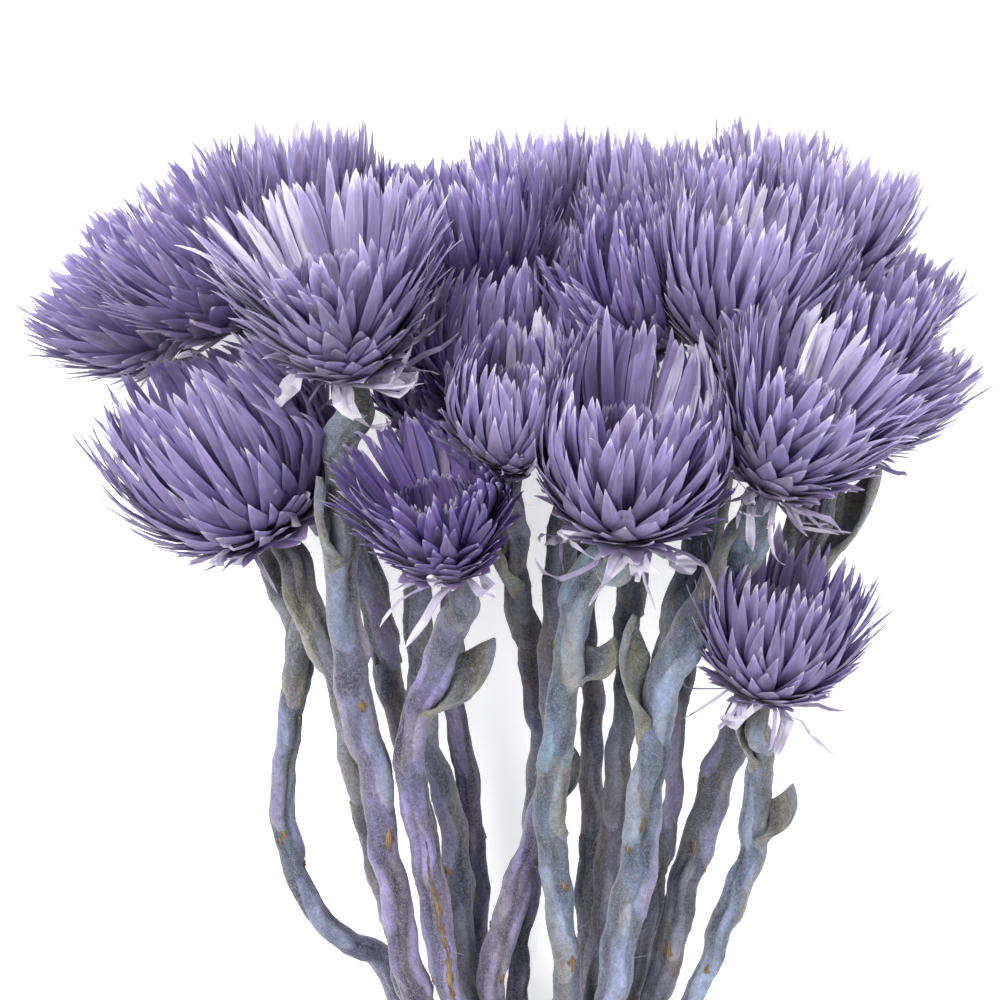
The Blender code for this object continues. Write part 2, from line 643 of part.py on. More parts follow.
def make_head(name, index, strands, parts, repeats, paint):
    """One head: its core with every row of bracts joined to it."""
    _, _, _, length, openness, rows = HEADS[name]
    foot, axis, length = foot_of(name), axis_of(name), length * MM
    u = unit(np.cross(axis, [0.0, 0.0, 1.0]))
    axes = (axis, u, np.cross(axis, u))
    core = make_core(name, foot, axes, length, openness, parts)
    planes = cell_of(name)
    middle, radius = middle_of(name)
    capsules = capsules_of(strands, middle, STEM_REACH * radius + STEM_REACH_MORE)
    draw = random.Random(SEED + index)
    for row_index, row in enumerate(rows):
        start = draw.uniform(0, 2 * math.pi)
        for k in range(row[0]):
            place = k + draw.uniform(-TURN_VARIATION, TURN_VARIATION)
            turn = start + 2 * math.pi * place / row[0]
            rings = bract_rings(foot, axes, row, turn, length, openness, draw)
            rings = bent_clear(rings, planes, capsules, draw.uniform(0, INSET))
            if rings:
                blade(f"bract_{row_index}_{k}", rings, repeats)
    joined(core, repeats)
    painted(core, paint)


def make_tube(name, strand, phase, collection):
    """The solid of a stem or branch, swollen here and there by the leaf bases that wrap it."""
    points, radii = strand.stations()
    swell = [1 + (LUMP * math.sin(LUMP_TURN * k + phase) if k > 1 else 0) for k in range(len(radii))]
    return tube(name, points, radii * np.array(swell), collection)


def make_leaf(name, strand, place, turn, length, width, spread, repeats):
    """A woolly leaf: a pointed blade that leaves its stem at a low angle, towards the head."""
    k = int(np.argmin(np.abs(strand.line[:, 1] - place * MM)))
    forward = unit(strand.line[max(k - 2, 0)] - strand.line[k])
    across = unit(np.cross([0.0, 0.0, 1.0], forward))
    up = np.cross(forward, across)
    turn, spread = math.radians(turn), math.radians(spread)
    out = across * math.cos(turn) + up * math.sin(turn)
    side = np.cross(forward, out)
    spot = strand.line[k] + out * strand.radius * LEAF_ROOT
    rings = []
    for share, half in LEAF_SHAPE:
        angle = spread * (LEAF_LEAN - LEAF_CURL * share)
        centre = spot + (forward * math.cos(angle) + out * math.sin(angle)) * length * MM * share
        back = -forward * math.sin(angle) + out * math.cos(angle)
        rings.append(Ring(centre, half * width / 2 * MM, side, back, LEAF_THICK))
    blade(name, rings, repeats)


def make_stem(name, index, strands, parts, repeats, paint):
    """One stem with its side branches and its loose leaves."""
    stem = make_tube(name, strands[name], index, parts)
    for branch, (_, parent, _, _, _) in BRANCHES.items():
        if parent == name:
            make_tube(branch, strands[branch], index, repeats)
    for k, (owner, *leaf) in enumerate(LEAVES):
        if owner == name:
            make_leaf(f"leaf_{k}", strands[name], *leaf, repeats)
    if repeats.objects:
        joined(stem, repeats)
    painted(stem, paint)


def band_outline(strands, offset):
    """The tight loop round the stems' sections at the band, as places across and up."""
    circles = []
    for name in STEMS:
        line = strands[name].line
        for y in (TIE_Y - BAND_WIDTH, TIE_Y, TIE_Y + BAND_WIDTH):
            k = int(np.argmin(np.abs(line[:, 1] - y)))
            circles.append((line[k][[0, 2]], strands[name].radii()[k] * (1 + LUMP)))
    outline = []
    for k in range(BAND_SIDES):
        way = np.array([math.cos(2 * math.pi * k / BAND_SIDES), math.sin(2 * math.pi * k / BAND_SIDES)])
        centre, radius = max(circles, key=lambda circle: circle[0] @ way + circle[1])
        x, z = centre + way * (radius + offset)
        outline.append((x, max(z, 0.0)))
    return outline


def make_band(strands, parts, paint):
    """A rubber band stretched round the stems: two outlines, filled between and extruded."""
    curve = bpy.data.curves.new("band", "CURVE")
    curve.dimensions = "2D"
    curve.fill_mode = "BOTH"
    curve.extrude = BAND_WIDTH / 2
    for offset in (GAP + BAND_THICK, GAP):
        spline = curve.splines.new("POLY")
        spline.points.add(BAND_SIDES - 1)
        spline.use_cyclic_u = True
        for place, (x, z) in zip(spline.points, band_outline(strands, offset)):
            place.co = (x, z, 0, 1)
    band = bpy.data.objects.new("band", curve)
    parts.objects.link(band)
    band.location = (0, TIE_Y, 0)
    band.rotation_euler = (math.pi / 2, 0, 0)
    painted(applied(band, parts), paint)


def material(name, colour, roughness):
    """A plain material of one colour."""
    made = bpy.data.materials.new(name)
    made.use_nodes = True
    shader = made.node_tree.nodes["Principled BSDF"]
    shader.inputs["Base Color"].default_value = (*colour, 1)
    shader.inputs["Roughness"].default_value = roughness
    shader.inputs["Metallic"].default_value = 0.0
    return made


def main():
    """Builds every head, every stem and the band."""
    for old in list(bpy.data.objects):
        bpy.data.objects.remove(old)
    parts = bpy.data.collections.new("dried_everlasting_bunch")
    repeats = bpy.data.collections.new("repeats")
    for collection in (parts, repeats):
        bpy.context.scene.collection.children.link(collection)
    lilac, violet = material("lilac bract", LILAC, 0.45), material("violet bract", VIOLET, 0.45)
    wool, tan = material("woolly stem", WOOL, 0.95), material("rubber", TAN, 0.6)
    strands = stem_lines()
    for index, name in enumerate(HEADS):
        make_head(name, index, strands, parts, repeats, violet if name in VIOLET_HEADS else lilac)
    for index, name in enumerate(STEMS):
        make_stem(name, index, strands, parts, repeats, wool)
    make_band(strands, parts, tan)
    bpy.data.collections.remove(repeats)


main()
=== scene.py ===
"""The looks of a bunch of dried everlasting flowers that lies on a pale floor.

Metres, +Z up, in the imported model's frame: the heads point along +Y, the cut stem ends along -Y, and
the camera looks straight down on the bunch. Every head, stem and the band replaces its plain solid.
"""

import json
import math
import random

import bpy
import numpy as np
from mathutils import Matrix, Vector, noise

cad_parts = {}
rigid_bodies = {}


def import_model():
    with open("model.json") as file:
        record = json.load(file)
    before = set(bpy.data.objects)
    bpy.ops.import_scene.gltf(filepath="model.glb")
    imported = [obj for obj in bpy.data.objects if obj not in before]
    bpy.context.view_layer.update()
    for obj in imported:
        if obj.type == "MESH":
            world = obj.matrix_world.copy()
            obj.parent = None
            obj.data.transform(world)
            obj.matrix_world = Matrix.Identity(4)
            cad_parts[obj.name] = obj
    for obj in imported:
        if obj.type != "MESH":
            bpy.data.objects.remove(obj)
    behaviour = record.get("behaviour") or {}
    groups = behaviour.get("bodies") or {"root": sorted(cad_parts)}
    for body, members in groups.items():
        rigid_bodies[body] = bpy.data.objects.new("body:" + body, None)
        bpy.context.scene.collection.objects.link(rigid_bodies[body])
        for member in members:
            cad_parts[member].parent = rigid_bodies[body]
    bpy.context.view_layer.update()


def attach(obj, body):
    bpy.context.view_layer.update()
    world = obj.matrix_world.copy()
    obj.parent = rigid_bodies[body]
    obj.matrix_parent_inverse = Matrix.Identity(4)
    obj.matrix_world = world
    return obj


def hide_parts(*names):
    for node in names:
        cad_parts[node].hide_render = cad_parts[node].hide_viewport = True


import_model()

MM = 0.001

# The bunch as a whole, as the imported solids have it
TIE_Y = -70 * MM
STEM_END_Y = -142 * MM
RAGGED = 9 * MM
SEED = 500
SPREAD_Y = -18 * MM
FAN_Y = 40 * MM
CENTRE_HEIGHTS = {STEM_END_Y: 12 * MM, TIE_Y: 11.6 * MM, SPREAD_Y: 25 * MM, FAN_Y: 38 * MM}
DEPTH_SPREADS = {STEM_END_Y: 8 * MM, TIE_Y: 7 * MM, SPREAD_Y: 11 * MM, FAN_Y: 18 * MM}
TIE_X = 8 * MM
TIE_NARROWING = 0.28
END_NARROWING = 0.42
GAP = 0.35 * MM
SEAT_GAP = 0.3 * MM
FLOOR_CLEAR = 0.1 * MM
POINT_STEP = 3.5 * MM
STEM_NECK_RUN = 7 * MM
BRANCH_NECK_RUN = 6 * MM
FAN_RUN = 20 * MM
WAIST = 0.78
LUMP = 0.10
FORK_CLEAR = 14 * MM
SETTLE_ROUNDS = 220
PAIR_ROUNDS = 12
PAIR_REACH = 6 * MM
PUSH = 0.8
GIVE = (0.6, 0.3, 1.0)
HOLD = 0.995

# Heads: foot in mm, lean to the right of +Y and rise in degrees, bract length in mm, how open it is,
# how many bracts, degrees that its tips lean out, how open its mouth is, how violet it is, how pale its
# tips are (their own paleness and painted backlight, most on the heads furthest along +Y), and the way
# across the floor, in degrees from +X towards +Y, in which its bracts get a painted silvery gleam, or None
HEADS = {
    "head_01": ((-60, 99, 17), -51, 2, 27, 0.86, 400, 10, 0.3, 0.3, 0.3, None),
    "head_02": ((-47, 103, 42), -36, 14, 29, 0.82, 400, 10, 0.3, 0.4, 0.2, None),
    "head_03": ((-37, 110, 13), -4, 3, 27, 0.72, 370, 6, 0.2, 0.2, 0.6, None),
    "head_04": ((-26, 93, 70), -10, 28, 34, 1.02, 430, 30, 1.0, 0.0, 0.5, 160),
    "head_05": ((-41, 67, 50), -30, 14, 36, 0.92, 460, -14, 0.6, 0.4, 0.2, None),
    "head_06": ((-13, 84, 46), -6, 30, 17, 0.95, 260, 16, 0.7, 0.9, 0.0, None),
    "head_07": ((-8, 58, 71), -14, 30, 30, 1.02, 370, 30, 0.9, 1.0, 0.1, None),
    "head_08": ((-3, 103, 42), -10, 12, 28, 0.66, 340, 5, 0.2, 0.6, 0.2, None),
    "head_09": ((8, 114, 11), -4, 6, 24, 0.66, 320, 3, 0.2, 0.2, 0.9, None),
    "head_10": ((2, 78, 74), 3, 34, 23, 0.66, 370, -14, 0.6, 0.2, 0.3, 60),
    "head_11": ((0, 85, 54), -4, 8, 27, 0.60, 300, 4, 0.2, 0.4, 0.1, None),
    "head_12": ((14, 86, 54), 10, 8, 26, 0.50, 270, -6, 0.0, 0.5, 0.1, None),
    "head_13": ((21, 65, 74), 8, 28, 33, 0.92, 450, 14, 1.0, 0.3, 0.5, 35),
    "head_14": ((25, 112, 12), 0, 2, 25, 0.70, 320, 4, 0.3, 0.1, 1.0, None),
    "head_15": ((50, 115, 12), 6, 4, 23.5, 0.74, 340, 12, 0.4, 0.1, 1.0, 90),
    "head_16": ((40, 96, 58), 14, 18, 29, 0.74, 400, 8, 0.3, 0.1, 0.6, 80),
    "head_17": ((25, 98, 54), 2, 12, 19, 0.92, 260, 0, 0.1, 0.5, 0.0, None),
    "head_18": ((47, 73, 74), 24, 30, 31, 0.92, 400, 26, 0.8, 0.1, 0.5, 75),
    "head_19": ((66, 97, 13), 26, 2, 25, 0.76, 340, 8, 0.3, 0.2, 0.6, None),
    "head_20": ((62, 81, 44), 34, 10, 27.5, 0.62, 370, 6, 0.3, 0.3, 0.3, None),
    "head_21": ((47, 36, 56), 12, 20, 27, 0.88, 400, 6, 0.5, 0.3, 0.3, None),
    "head_22": ((25, 107, 34), 0, 14, 20, 0.80, 270, 8, 0.2, 0.4, 0.1, None),
    "head_23": ((-16, 113, 11.5), 2, 4, 20, 0.70, 260, 6, 0.2, 0.8, 0.0, None),
    "head_24": ((59, 109, 34), 14, 10, 24, 0.74, 320, 8, 0.3, 0.1, 0.9, 90),
    "head_25": ((12, 101, 36), 4, 8, 20, 0.70, 260, 5, 0.2, 0.5, 0.1, None),
    "head_26": ((39, 113, 32), 4, 10, 21, 0.70, 260, 5, 0.2, 0.2, 0.5, None),
    "head_27": ((62, 90, 56), 16, 18, 22, 0.64, 270, 5, 0.2, 0.2, 0.4, None),
}

# Stems: the head that each carries, radius under the head in mm, how far forward it lies in the
# bunch (1 is the front), and points that its middle line passes, from the head down, in mm
STEMS = {
    "stem_01": ("head_01", 2.5, 0.1, ((-53, 85), (-43, 62), (-37, 47), (-37, 38), (-39, 26), (-40, 17),
                                      (-39, 8), (-37, 1), (-33, -5), (-27, -11), (-19, -18))),
    "stem_02": ("head_05", 2.8, 0.5, ((-36, 53), (-32, 45), (-29, 37), (-26, 25), (-24, 12), (-20, -2),
                                      (-16, -18))),
    "stem_03": ("head_04", 3.2, 0.9, ((-28, 83), (-28, 68), (-28, 54), (-26, 38), (-23, 26), (-21, 14),
                                      (-18, 0), (-15, -18))),
    "stem_04": ("head_07", 3.0, 1.0, ((-9, 50), (-11, 42), (-16, 32), (-17, 20), (-15, 8), (-13, -4),
                                      (-10, -18))),
    "stem_05": ("head_06", 2.6, 0.1, ((-15, 72), (-15, 54), (-14, 32), (-10, 17), (-8, 6), (-6, -18))),
    "stem_06": ("head_08", 2.2, -0.4, ((-3, 86), (-6, 68), (-8, 54), (-9, 40), (-8, 29), (-6, 17),
                                       (-4, 4), (-4, -18))),
    "stem_07": ("head_12", 2.9, 0.5, ((12, 75), (11, 60), (10, 46), (10, 29), (8, 14), (4, 3), (1, -8),
                                      (-2, -18))),
    "stem_08": ("head_10", 2.3, -0.1, ((2, 69), (3, 60), (5, 48), (7, 32), (7, 15), (6, 0), (3, -18))),
    "stem_09": ("head_13", 3.2, 0.9, ((18, 61), (14, 52), (12, 40), (10, 29), (9, 18), (10, 8), (11, -3),
                                      (12, -18))),
    "stem_10": ("head_25", 2.3, -0.7, ((13, 86), (15, 65), (16, 47), (17, 29), (17, 9), (16, -18))),
    "stem_11": ("head_18", 3.5, 0.9, ((44, 65), (37, 53), (31, 43), (28, 35), (27, 25), (26, 14), (24, 2),
                                      (20, -18))),
    "stem_12": ("head_22", 2.6, 0.1, ((26, 90), (25, 72), (24, 54), (23, 38), (22, 26), (21, 14),
                                      (18, -18))),
    "stem_13": ("head_15", 2.0, -0.6, ((47, 101), (43, 81), (38, 61), (35, 46), (33, 32), (32, 20),
                                       (31, 9), (26, -18))),
    "stem_14": ("head_20", 3.2, 0.1, ((60, 72), (54, 54), (48, 38), (43, 27), (39, 19), (36, 8), (33, -3),
                                      (30, -18))),
    "stem_15": ("head_21", 2.5, 0.6, ((47, 29), (47, 18), (46, 8), (43, 0), (40, -8), (36, -18))),
    "stem_16": ("head_02", 2.5, -0.6, ((-41, 90), (-32, 72), (-24, 54), (-20, 38), (-17, 25), (-14, 10),
                                       (-9, -18))),
    "stem_17": ("head_19", 2.3, -0.7, ((63, 84), (55, 62), (48, 42), (42, 27), (37, 12), (33, -2),
                                       (27, -18))),
}

# Side branches: their head, the stem that they fork from and where, radius in mm, and points
BRANCHES = {
    "branch_03": ("head_03", "stem_16", 40, 2.3, ((-35, 92), (-29, 74), (-24, 58))),
    "branch_23": ("head_23", "stem_05", 46, 2.1, ((-17, 96), (-17, 76), (-16, 60))),
    "branch_09": ("head_09", "stem_10", 58, 2.2, ((8, 98), (11, 78))),
    "branch_11": ("head_11", "stem_08", 44, 2.1, ((0, 74), (2, 60))),
    "branch_14": ("head_14", "stem_12", 50, 2.2, ((25, 95), (25, 76), (24, 62))),
    "branch_17": ("head_17", "stem_12", 68, 2.0, ((26, 88),)),
    "branch_26": ("head_26", "stem_13", 66, 2.1, ((40, 98), (40, 82))),
    "branch_24": ("head_24", "stem_17", 60, 2.1, ((59, 95), (57, 78))),
    "branch_27": ("head_27", "stem_14", 58, 2.0, ((61, 78), (58, 68))),
    "branch_16": ("head_16", "stem_11", 40, 2.8, ((38, 82), (36, 68), (33, 54))),
}

# Loose woolly leaves: their stem, place along +Y, turn about the stem, length, width, spread
LEAVES = (
    ("stem_09", 40, 20, 12, 8.0, 46),
    ("stem_09", 16, -20, 13, 6.0, 24),
    ("stem_15", 10, 10, 15, 7.5, 30),
    ("stem_14", 58, 10, 26, 9.0, 16),
    ("stem_04", 34, 30, 22, 10.0, 30),
    ("stem_03", 58, 150, 22, 8.0, 16),
    ("stem_11", 30, 150, 26, 8.5, 20),
    ("stem_11", 56, 130, 18, 7.5, 22),
    ("stem_01", 36, 60, 20, 7.5, 16),
    ("stem_15", 24, 150, 16, 7.0, 18),
    ("stem_12", 52, 80, 22, 8.0, 20),
    ("stem_16", 66, 90, 20, 7.5, 20),
    ("stem_17", 66, 60, 18, 7.5, 24),
    ("stem_08", 56, 120, 16, 6.5, 24),
)

# Bracts of a head from its lowest to its inmost: share of the way in, height and radius of the root,
# angle from the head's axis at the root, how much more than the head's own its tip leans out, length
# and width, in degrees and in shares of bract length
BRACT_KEYS = (
    (0.00, 0.00, 0.10, 112, 26, 0.28, 0.165),
    (0.04, 0.01, 0.11, 108, 20, 0.32, 0.175),
    (0.10, 0.03, 0.12, 103, 14, 0.40, 0.170),
    (0.20, 0.06, 0.13, 97, 8, 0.53, 0.155),
    (0.36, 0.09, 0.14, 91, 5, 0.72, 0.125),
    (0.52, 0.11, 0.14, 85, 3, 0.90, 0.098),
    (0.68, 0.13, 0.135, 77, 2, 1.00, 0.086),
    (0.84, 0.15, 0.125, 67, 0, 1.00, 0.078),
    (1.00, 0.17, 0.11, 54, -3, 0.94, 0.070),
)
LOOSENESS = 22  # how far apart the tips of the lowest bracts lean, in degrees
SPREAD_STRAIGHTENS = 0.016  # how much less far out roots start for each degree that the tips lean out
# The inmost bracts stand round the florets like a tube: share of all bracts, height, radius, root and
# tip angle, length and width, for a closed head and for one with an open mouth
TUBE_SHARE = 0.20
TUBE_CLOSED = (0.19, 0.100, 34, -18, 0.70, 0.056)
TUBE_OPEN = (0.17, 0.140, 26, -16, 0.52, 0.060)
# Heads whose bracts reach further or less far than in the solids, and torn strips at their bases
REACH = {"head_03": 1.08, "head_14": 1.04, "head_15": 1.04, "head_09": 1.02, "head_19": 0.90,
         "head_20": 0.86, "head_18": 0.90, "head_21": 0.92, "head_04": 0.90, "head_07": 0.80,
         "head_17": 1.28, "head_12": 1.10, "head_23": 1.05, "head_05": 0.95, "head_01": 0.95,
         "head_02": 0.97}
TORN = {"head_04": 22, "head_05": 17, "head_07": 12, "head_10": 8, "head_13": 26, "head_16": 8,
        "head_18": 28, "head_21": 16}
FEW_TORN = 5
STEPS = (0.0, 0.10, 0.24, 0.41, 0.58, 0.75, 0.88, 0.965, 1.0)  # places of a bract's rings
SPANS = len(STEPS) - 1
ACROSS = (-1.0, 0.0, 1.0, 0.0)  # places across a bract round each ring, in half widths
LAYERS = (0.0, 1.0, 0.0, -1.0)  # edge, inner side or outer side at each of those
GOLDEN_TURN = math.radians(137.508)
BUNDLES = 8  # the long bracts of a head draw together into about so many bundles
BUNDLING = 0.10  # how far they lean towards it
CURL = 0.74  # below 1, a bract curls most near its root
BRACT_THICK = 0.13 * MM
USUAL_LENGTH = 30 * MM  # the bracts of smaller heads are broader for their length
EDGE_PAINTED_LIGHT = 0.24  # painted light: the thin edges of a bract are painted lighter than its middle, as if lit through
NEIGHBOUR_WIDTH = 6 * MM  # over this distance bracts turn aside from a neighbouring head
NEIGHBOUR_SLACK = 1.2 * MM  # how far they may reach past the plane that the solids keep
SLACK_SPREAD = 1.1 * MM
UPWARD = np.array([0.0, 0.0, 0.6])  # beside a neighbour they also bend up, where the space is free
FLOOR_WIDTH = 6 * MM
FLOOR_REST = 0.5 * MM
FLOOR_SPREAD = 2.5 * MM
STEM_WIDTH = 2.5 * MM
PAINTED_GLEAM_SPREAD = 40  # degrees to each side of the way in which a head's bracts get a painted silvery gleam

# Bract colours: the deep ones, at the roots, hold painted shade besides the bracts' own deeper colour; the
# pale ones, at the tips, painted light besides their own paleness.
LILAC_DEEP = (0.125, 0.096, 0.215)
LILAC = (0.206, 0.166, 0.345)
LILAC_PALE = (0.480, 0.440, 0.610)
VIOLET_DEEP = (0.066, 0.040, 0.155)
VIOLET = (0.140, 0.088, 0.290)
VIOLET_PALE = (0.310, 0.250, 0.480)
ROSE_GREY = (0.270, 0.222, 0.315)
SLATE_BLUE = (0.140, 0.140, 0.345)
# Painted reflection: near white put into the colour of bracts that gleam, partly the pale silver of dry
# bracts.
SILVER_AND_PAINTED_GLEAM = (0.900, 0.880, 0.950)
# Dry tips: the bracts' own whitish ends with a painted glint on them.
DRY_TIP_AND_GLINT = (0.800, 0.790, 0.860)


def frame_of(axis):
    """Two directions across an axis."""
    u = unit(np.cross(axis, [0.0, 0.0, 1.0]))
    return u, np.cross(axis, u)


def middle_of(head):
    """The middle of the space that a head fills, and its rough radius."""
    length, openness = HEADS[head][3:5]
    middle = foot_of(head) + axis_of(head) * 0.45 * length * MM
    return middle, length * MM * (0.45 + 0.30 * openness)


def core_reach(head, normal):
    """How far a head's core reaches in a direction."""
    length, openness = HEADS[head][3] * MM, HEADS[head][4]
    foot = foot_of(head)
    widest = foot + axis_of(head) * 0.25 * length
    return max(foot @ normal + 0.15 * length, widest @ normal + 0.28 * length * (0.55 + 0.45 * openness))


def cell_of(head):
    """Planes between a head and its neighbours: normals and limits."""
    middle, radius = middle_of(head)
    normals, limits = [], []
    for other in HEADS:
        there, other_radius = middle_of(other)
        distance = np.linalg.norm(there - middle)
        if other == head or distance > 2.6 * (radius + other_radius):
            continue
        normal = (there - middle) / distance
        shared = normal @ middle + (distance**2 + radius**2 - other_radius**2) / (2 * distance)
        low, high = core_reach(head, normal), -core_reach(other, -normal)
        normals.append(normal)
        limits.append((low + high) / 2 if low > high else float(np.clip(shared, low, high)))
    return np.array(normals), np.array(limits)


def stretches_near(strands, middle, reach):
    """Straight stretches of the stems near a point: starts, spans and radii."""
    starts, spans, radii = [], [], []
    for strand in strands.values():
        line, sizes = strand.line[1:], strand.radii()[1:]
        near = np.linalg.norm((line[:-1] + line[1:]) / 2 - middle, axis=1) < reach
        starts.append(line[:-1][near])
        spans.append((line[1:] - line[:-1])[near])
        radii.append(sizes[:-1][near])
    return np.concatenate(starts), np.concatenate(spans), np.concatenate(radii)


def away_from(stretches, points):
    """Direction from the nearest stem to each point, and how far the point is clear of it."""
    starts, spans, radii = stretches
    ways = points[:, None, :] - starts[None, :, :]
    share = np.clip((ways * spans).sum(axis=2) / np.maximum((spans**2).sum(axis=1), 1e-14), 0, 1)
    offsets = ways - share[:, :, None] * spans
    distance = np.linalg.norm(offsets, axis=2)
    nearest = np.argmin(distance - radii, axis=1)
    rows = np.arange(len(points))
    found = distance[rows, nearest]
    return offsets[rows, nearest] / (found[:, None] + 1e-9), found - radii[nearest]


def normalised(vectors):
    return vectors / np.maximum(np.linalg.norm(vectors, axis=-1, keepdims=True), 1e-12)


def turned_aside(ways, normals, clear, width, wall=None):
    """Directions with what heads for a near wall taken out, so that bracts bend along it or as told."""
    heading = np.maximum((ways * normals).sum(axis=1), 0)
    nearness = np.clip(1 - clear / width, 0, 1)
    return normalised(ways - (normals if wall is None else wall) * (heading * nearness)[:, None])


def grown_lines(roots, axis, out, side, angles, sway, reaches, slack, rest, cell, stretches):
    """Middle lines of bracts that grow from their roots and bend aside where space is taken."""
    normals, limits = cell
    lines = [roots]
    point = roots
    for k in range(SPANS):
        angle = angles[:, k][:, None]
        step = reaches * (STEPS[k + 1] - STEPS[k])
        way = axis * np.cos(angle) + out * np.sin(angle) + side * (sway[:, k])[:, None]
        way = normalised(way)
        for normal, limit in zip(normals, limits):
            clear = limit + slack - point @ normal
            wall = normal - UPWARD * max(0.0, 1 - abs(normal[2]))
            way = turned_aside(way, np.broadcast_to(normal, way.shape), clear, NEIGHBOUR_WIDTH, wall)
        if k > 1:
            off, clear = away_from(stretches, point)
            way = turned_aside(way, -off, clear, STEM_WIDTH)
        down = np.broadcast_to(np.array([0.0, 0.0, -1.0]), way.shape)
        way = turned_aside(way, down, point[:, 2] - rest, FLOOR_WIDTH)
        point = point + way * step[:, None]
        point = np.concatenate([point[:, :2], np.maximum(point[:, 2:], rest[:, None])], axis=1)
        lines.append(point)
    return np.stack(lines, axis=1)


def bract_mesh(lines, side, half, cup, twist, profile, kink):
    """Points of many closed, cupped bracts: a ring of points at each step, and one at each tip."""
    count = len(lines)
    tangents = normalised(np.gradient(lines, axis=1))
    sides = side[:, None, :] - tangents * (side[:, None, :] * tangents).sum(axis=2, keepdims=True)
    sides = normalised(sides)
    backs = np.cross(sides, tangents)
    turn = (twist[:, None] * np.array(STEPS)[None, :] + kink)[:, :, None]
    sides, backs = sides * np.cos(turn) + backs * np.sin(turn), backs * np.cos(turn) - sides * np.sin(turn)
    x = np.array(ACROSS)
    lift = np.array(LAYERS) * BRACT_THICK / 2
    widths = half[:, None] * profile
    points = (lines[:, :, None, :]
              + sides[:, :, None, :] * (widths[:, :, None] * x)[..., None]
              + backs[:, :, None, :] * (lift - cup[:, None, None] * widths[:, :, None] * x**2)[..., None])
    rings = points[:, :-1].reshape(count, -1, 3)
    return np.concatenate([rings, lines[:, -1:]], axis=1)


def ring_faces(rings, around, inward=False):
    """Quads between closed rings of points that follow each other, turned outwards or inwards."""
    k, i = np.meshgrid(np.arange(rings - 1), np.arange(around), indexing="ij")
    j = (i + 1) % around
    corners = [k * around + i, (k + 1) * around + i, (k + 1) * around + j, k * around + j]
    if inward:
        corners = [corners[n] for n in (0, 3, 2, 1)]
    return np.stack(corners, axis=-1).reshape(-1, 4)


def bract_faces(count, around):
    """Faces of the bracts, in the order of bract_mesh's points."""
    turns = np.arange(around)
    last, tip = (SPANS - 1) * around, SPANS * around
    tips = np.stack([last + turns, last + (turns + 1) % around, np.full(around, tip)], axis=1)
    step = np.arange(count)[:, None, None] * (tip + 1)
    kinds = (ring_faces(SPANS, around, True), tips, turns[None, ::-1])
    return tuple((faces[None] + step).reshape(-1, faces.shape[1]) for faces in kinds)


def along(table, y):
    """Straight-line reading of a table of values by place along the bunch."""
    places = sorted(table)
    return float(np.interp(y, places, [table[place] for place in places]))


def read_between(places, known, values):
    """Values of three numbers each, read at places between the known ones."""
    return np.stack([np.interp(places, known, values[:, k]) for k in range(3)], axis=-1)


def noise_at(points):
    """Smooth noise, about -1 to 1, at each point."""
    return np.array([noise.noise(Vector(point)) for point in points])


def unit(vector):
    """The vector at length 1."""
    return vector / np.linalg.norm(vector)


def axis_of(head):
    """The way that a head points."""
    lean, rise = HEADS[head][1:3]
    lean, rise = math.radians(lean), math.radians(rise)
    return np.array([math.sin(lean) * math.cos(rise), math.cos(lean) * math.cos(rise), math.sin(rise)])


def foot_of(head):
    """Where a head meets its stem."""
    return np.array(HEADS[head][0]) * MM


def smooth_line(points, step):
    """Points about step apart on a Catmull-Rom curve through the given points."""
    points = np.array(points)
    padded = np.vstack([2 * points[0] - points[1], points, 2 * points[-1] - points[-2]])
    line = [points[0]]
    for before, start, end, after in zip(padded, padded[1:], padded[2:], padded[3:]):
        pieces = max(1, round(np.linalg.norm(end - start) / step))
        for t in np.linspace(0, 1, pieces + 1)[1:]:
            line.append(0.5 * (2 * start + (end - before) * t
                               + (2 * before - 5 * start + 4 * end - after) * t**2
                               + (3 * start - before - 3 * end + after) * t**3))
    return np.array(line)


def lengths_along(line):
    """Length of the line from its start to each of its points."""
    return np.concatenate([[0], np.cumsum(np.linalg.norm(np.diff(line, axis=0), axis=1))])


def stem_height(depth, y):
    """How high a stem lies at a place along the bunch, from how far forward it is."""
    return along(CENTRE_HEIGHTS, y) + depth * along(DEPTH_SPREADS, y)


def stem_route(head, depth, points, cut):
    """Points of a stem's middle line: head, fan, run to the band, and cut end."""
    foot, axis = foot_of(head), axis_of(head)
    route = [foot - axis * SEAT_GAP, foot - axis * STEM_NECK_RUN]
    low = min(FAN_Y, foot[1] - FAN_RUN)
    for x, y in points:
        x, y = x * MM, y * MM
        share = np.clip((y - low) / (foot[1] - low), 0, 1)
        z = (1 - share) * stem_height(depth, min(y, low)) + share * route[1][2]
        route.append(np.array([x, y, z]))
    offset = route[-1][0] - TIE_X
    for y, narrowing in ((TIE_Y, TIE_NARROWING), (cut, END_NARROWING)):
        route.append(np.array([TIE_X + offset * narrowing, y, stem_height(depth, y)]))
    return smooth_line(route, POINT_STEP)


def branch_route(head, parent_line, fork_y, points):
    """Points of a side branch's middle line, from its head down to its fork."""
    foot, axis = foot_of(head), axis_of(head)
    fork = parent_line[np.argmin(np.abs(parent_line[:, 1] - fork_y * MM))]
    route = [foot - axis * SEAT_GAP, foot - axis * BRANCH_NECK_RUN]
    for x, y in points:
        share = (y * MM - fork[1]) / (foot[1] - fork[1])
        route.append(np.array([x * MM, y * MM, fork[2] + share * (route[1][2] - fork[2])]))
    return smooth_line(route + [fork], POINT_STEP)


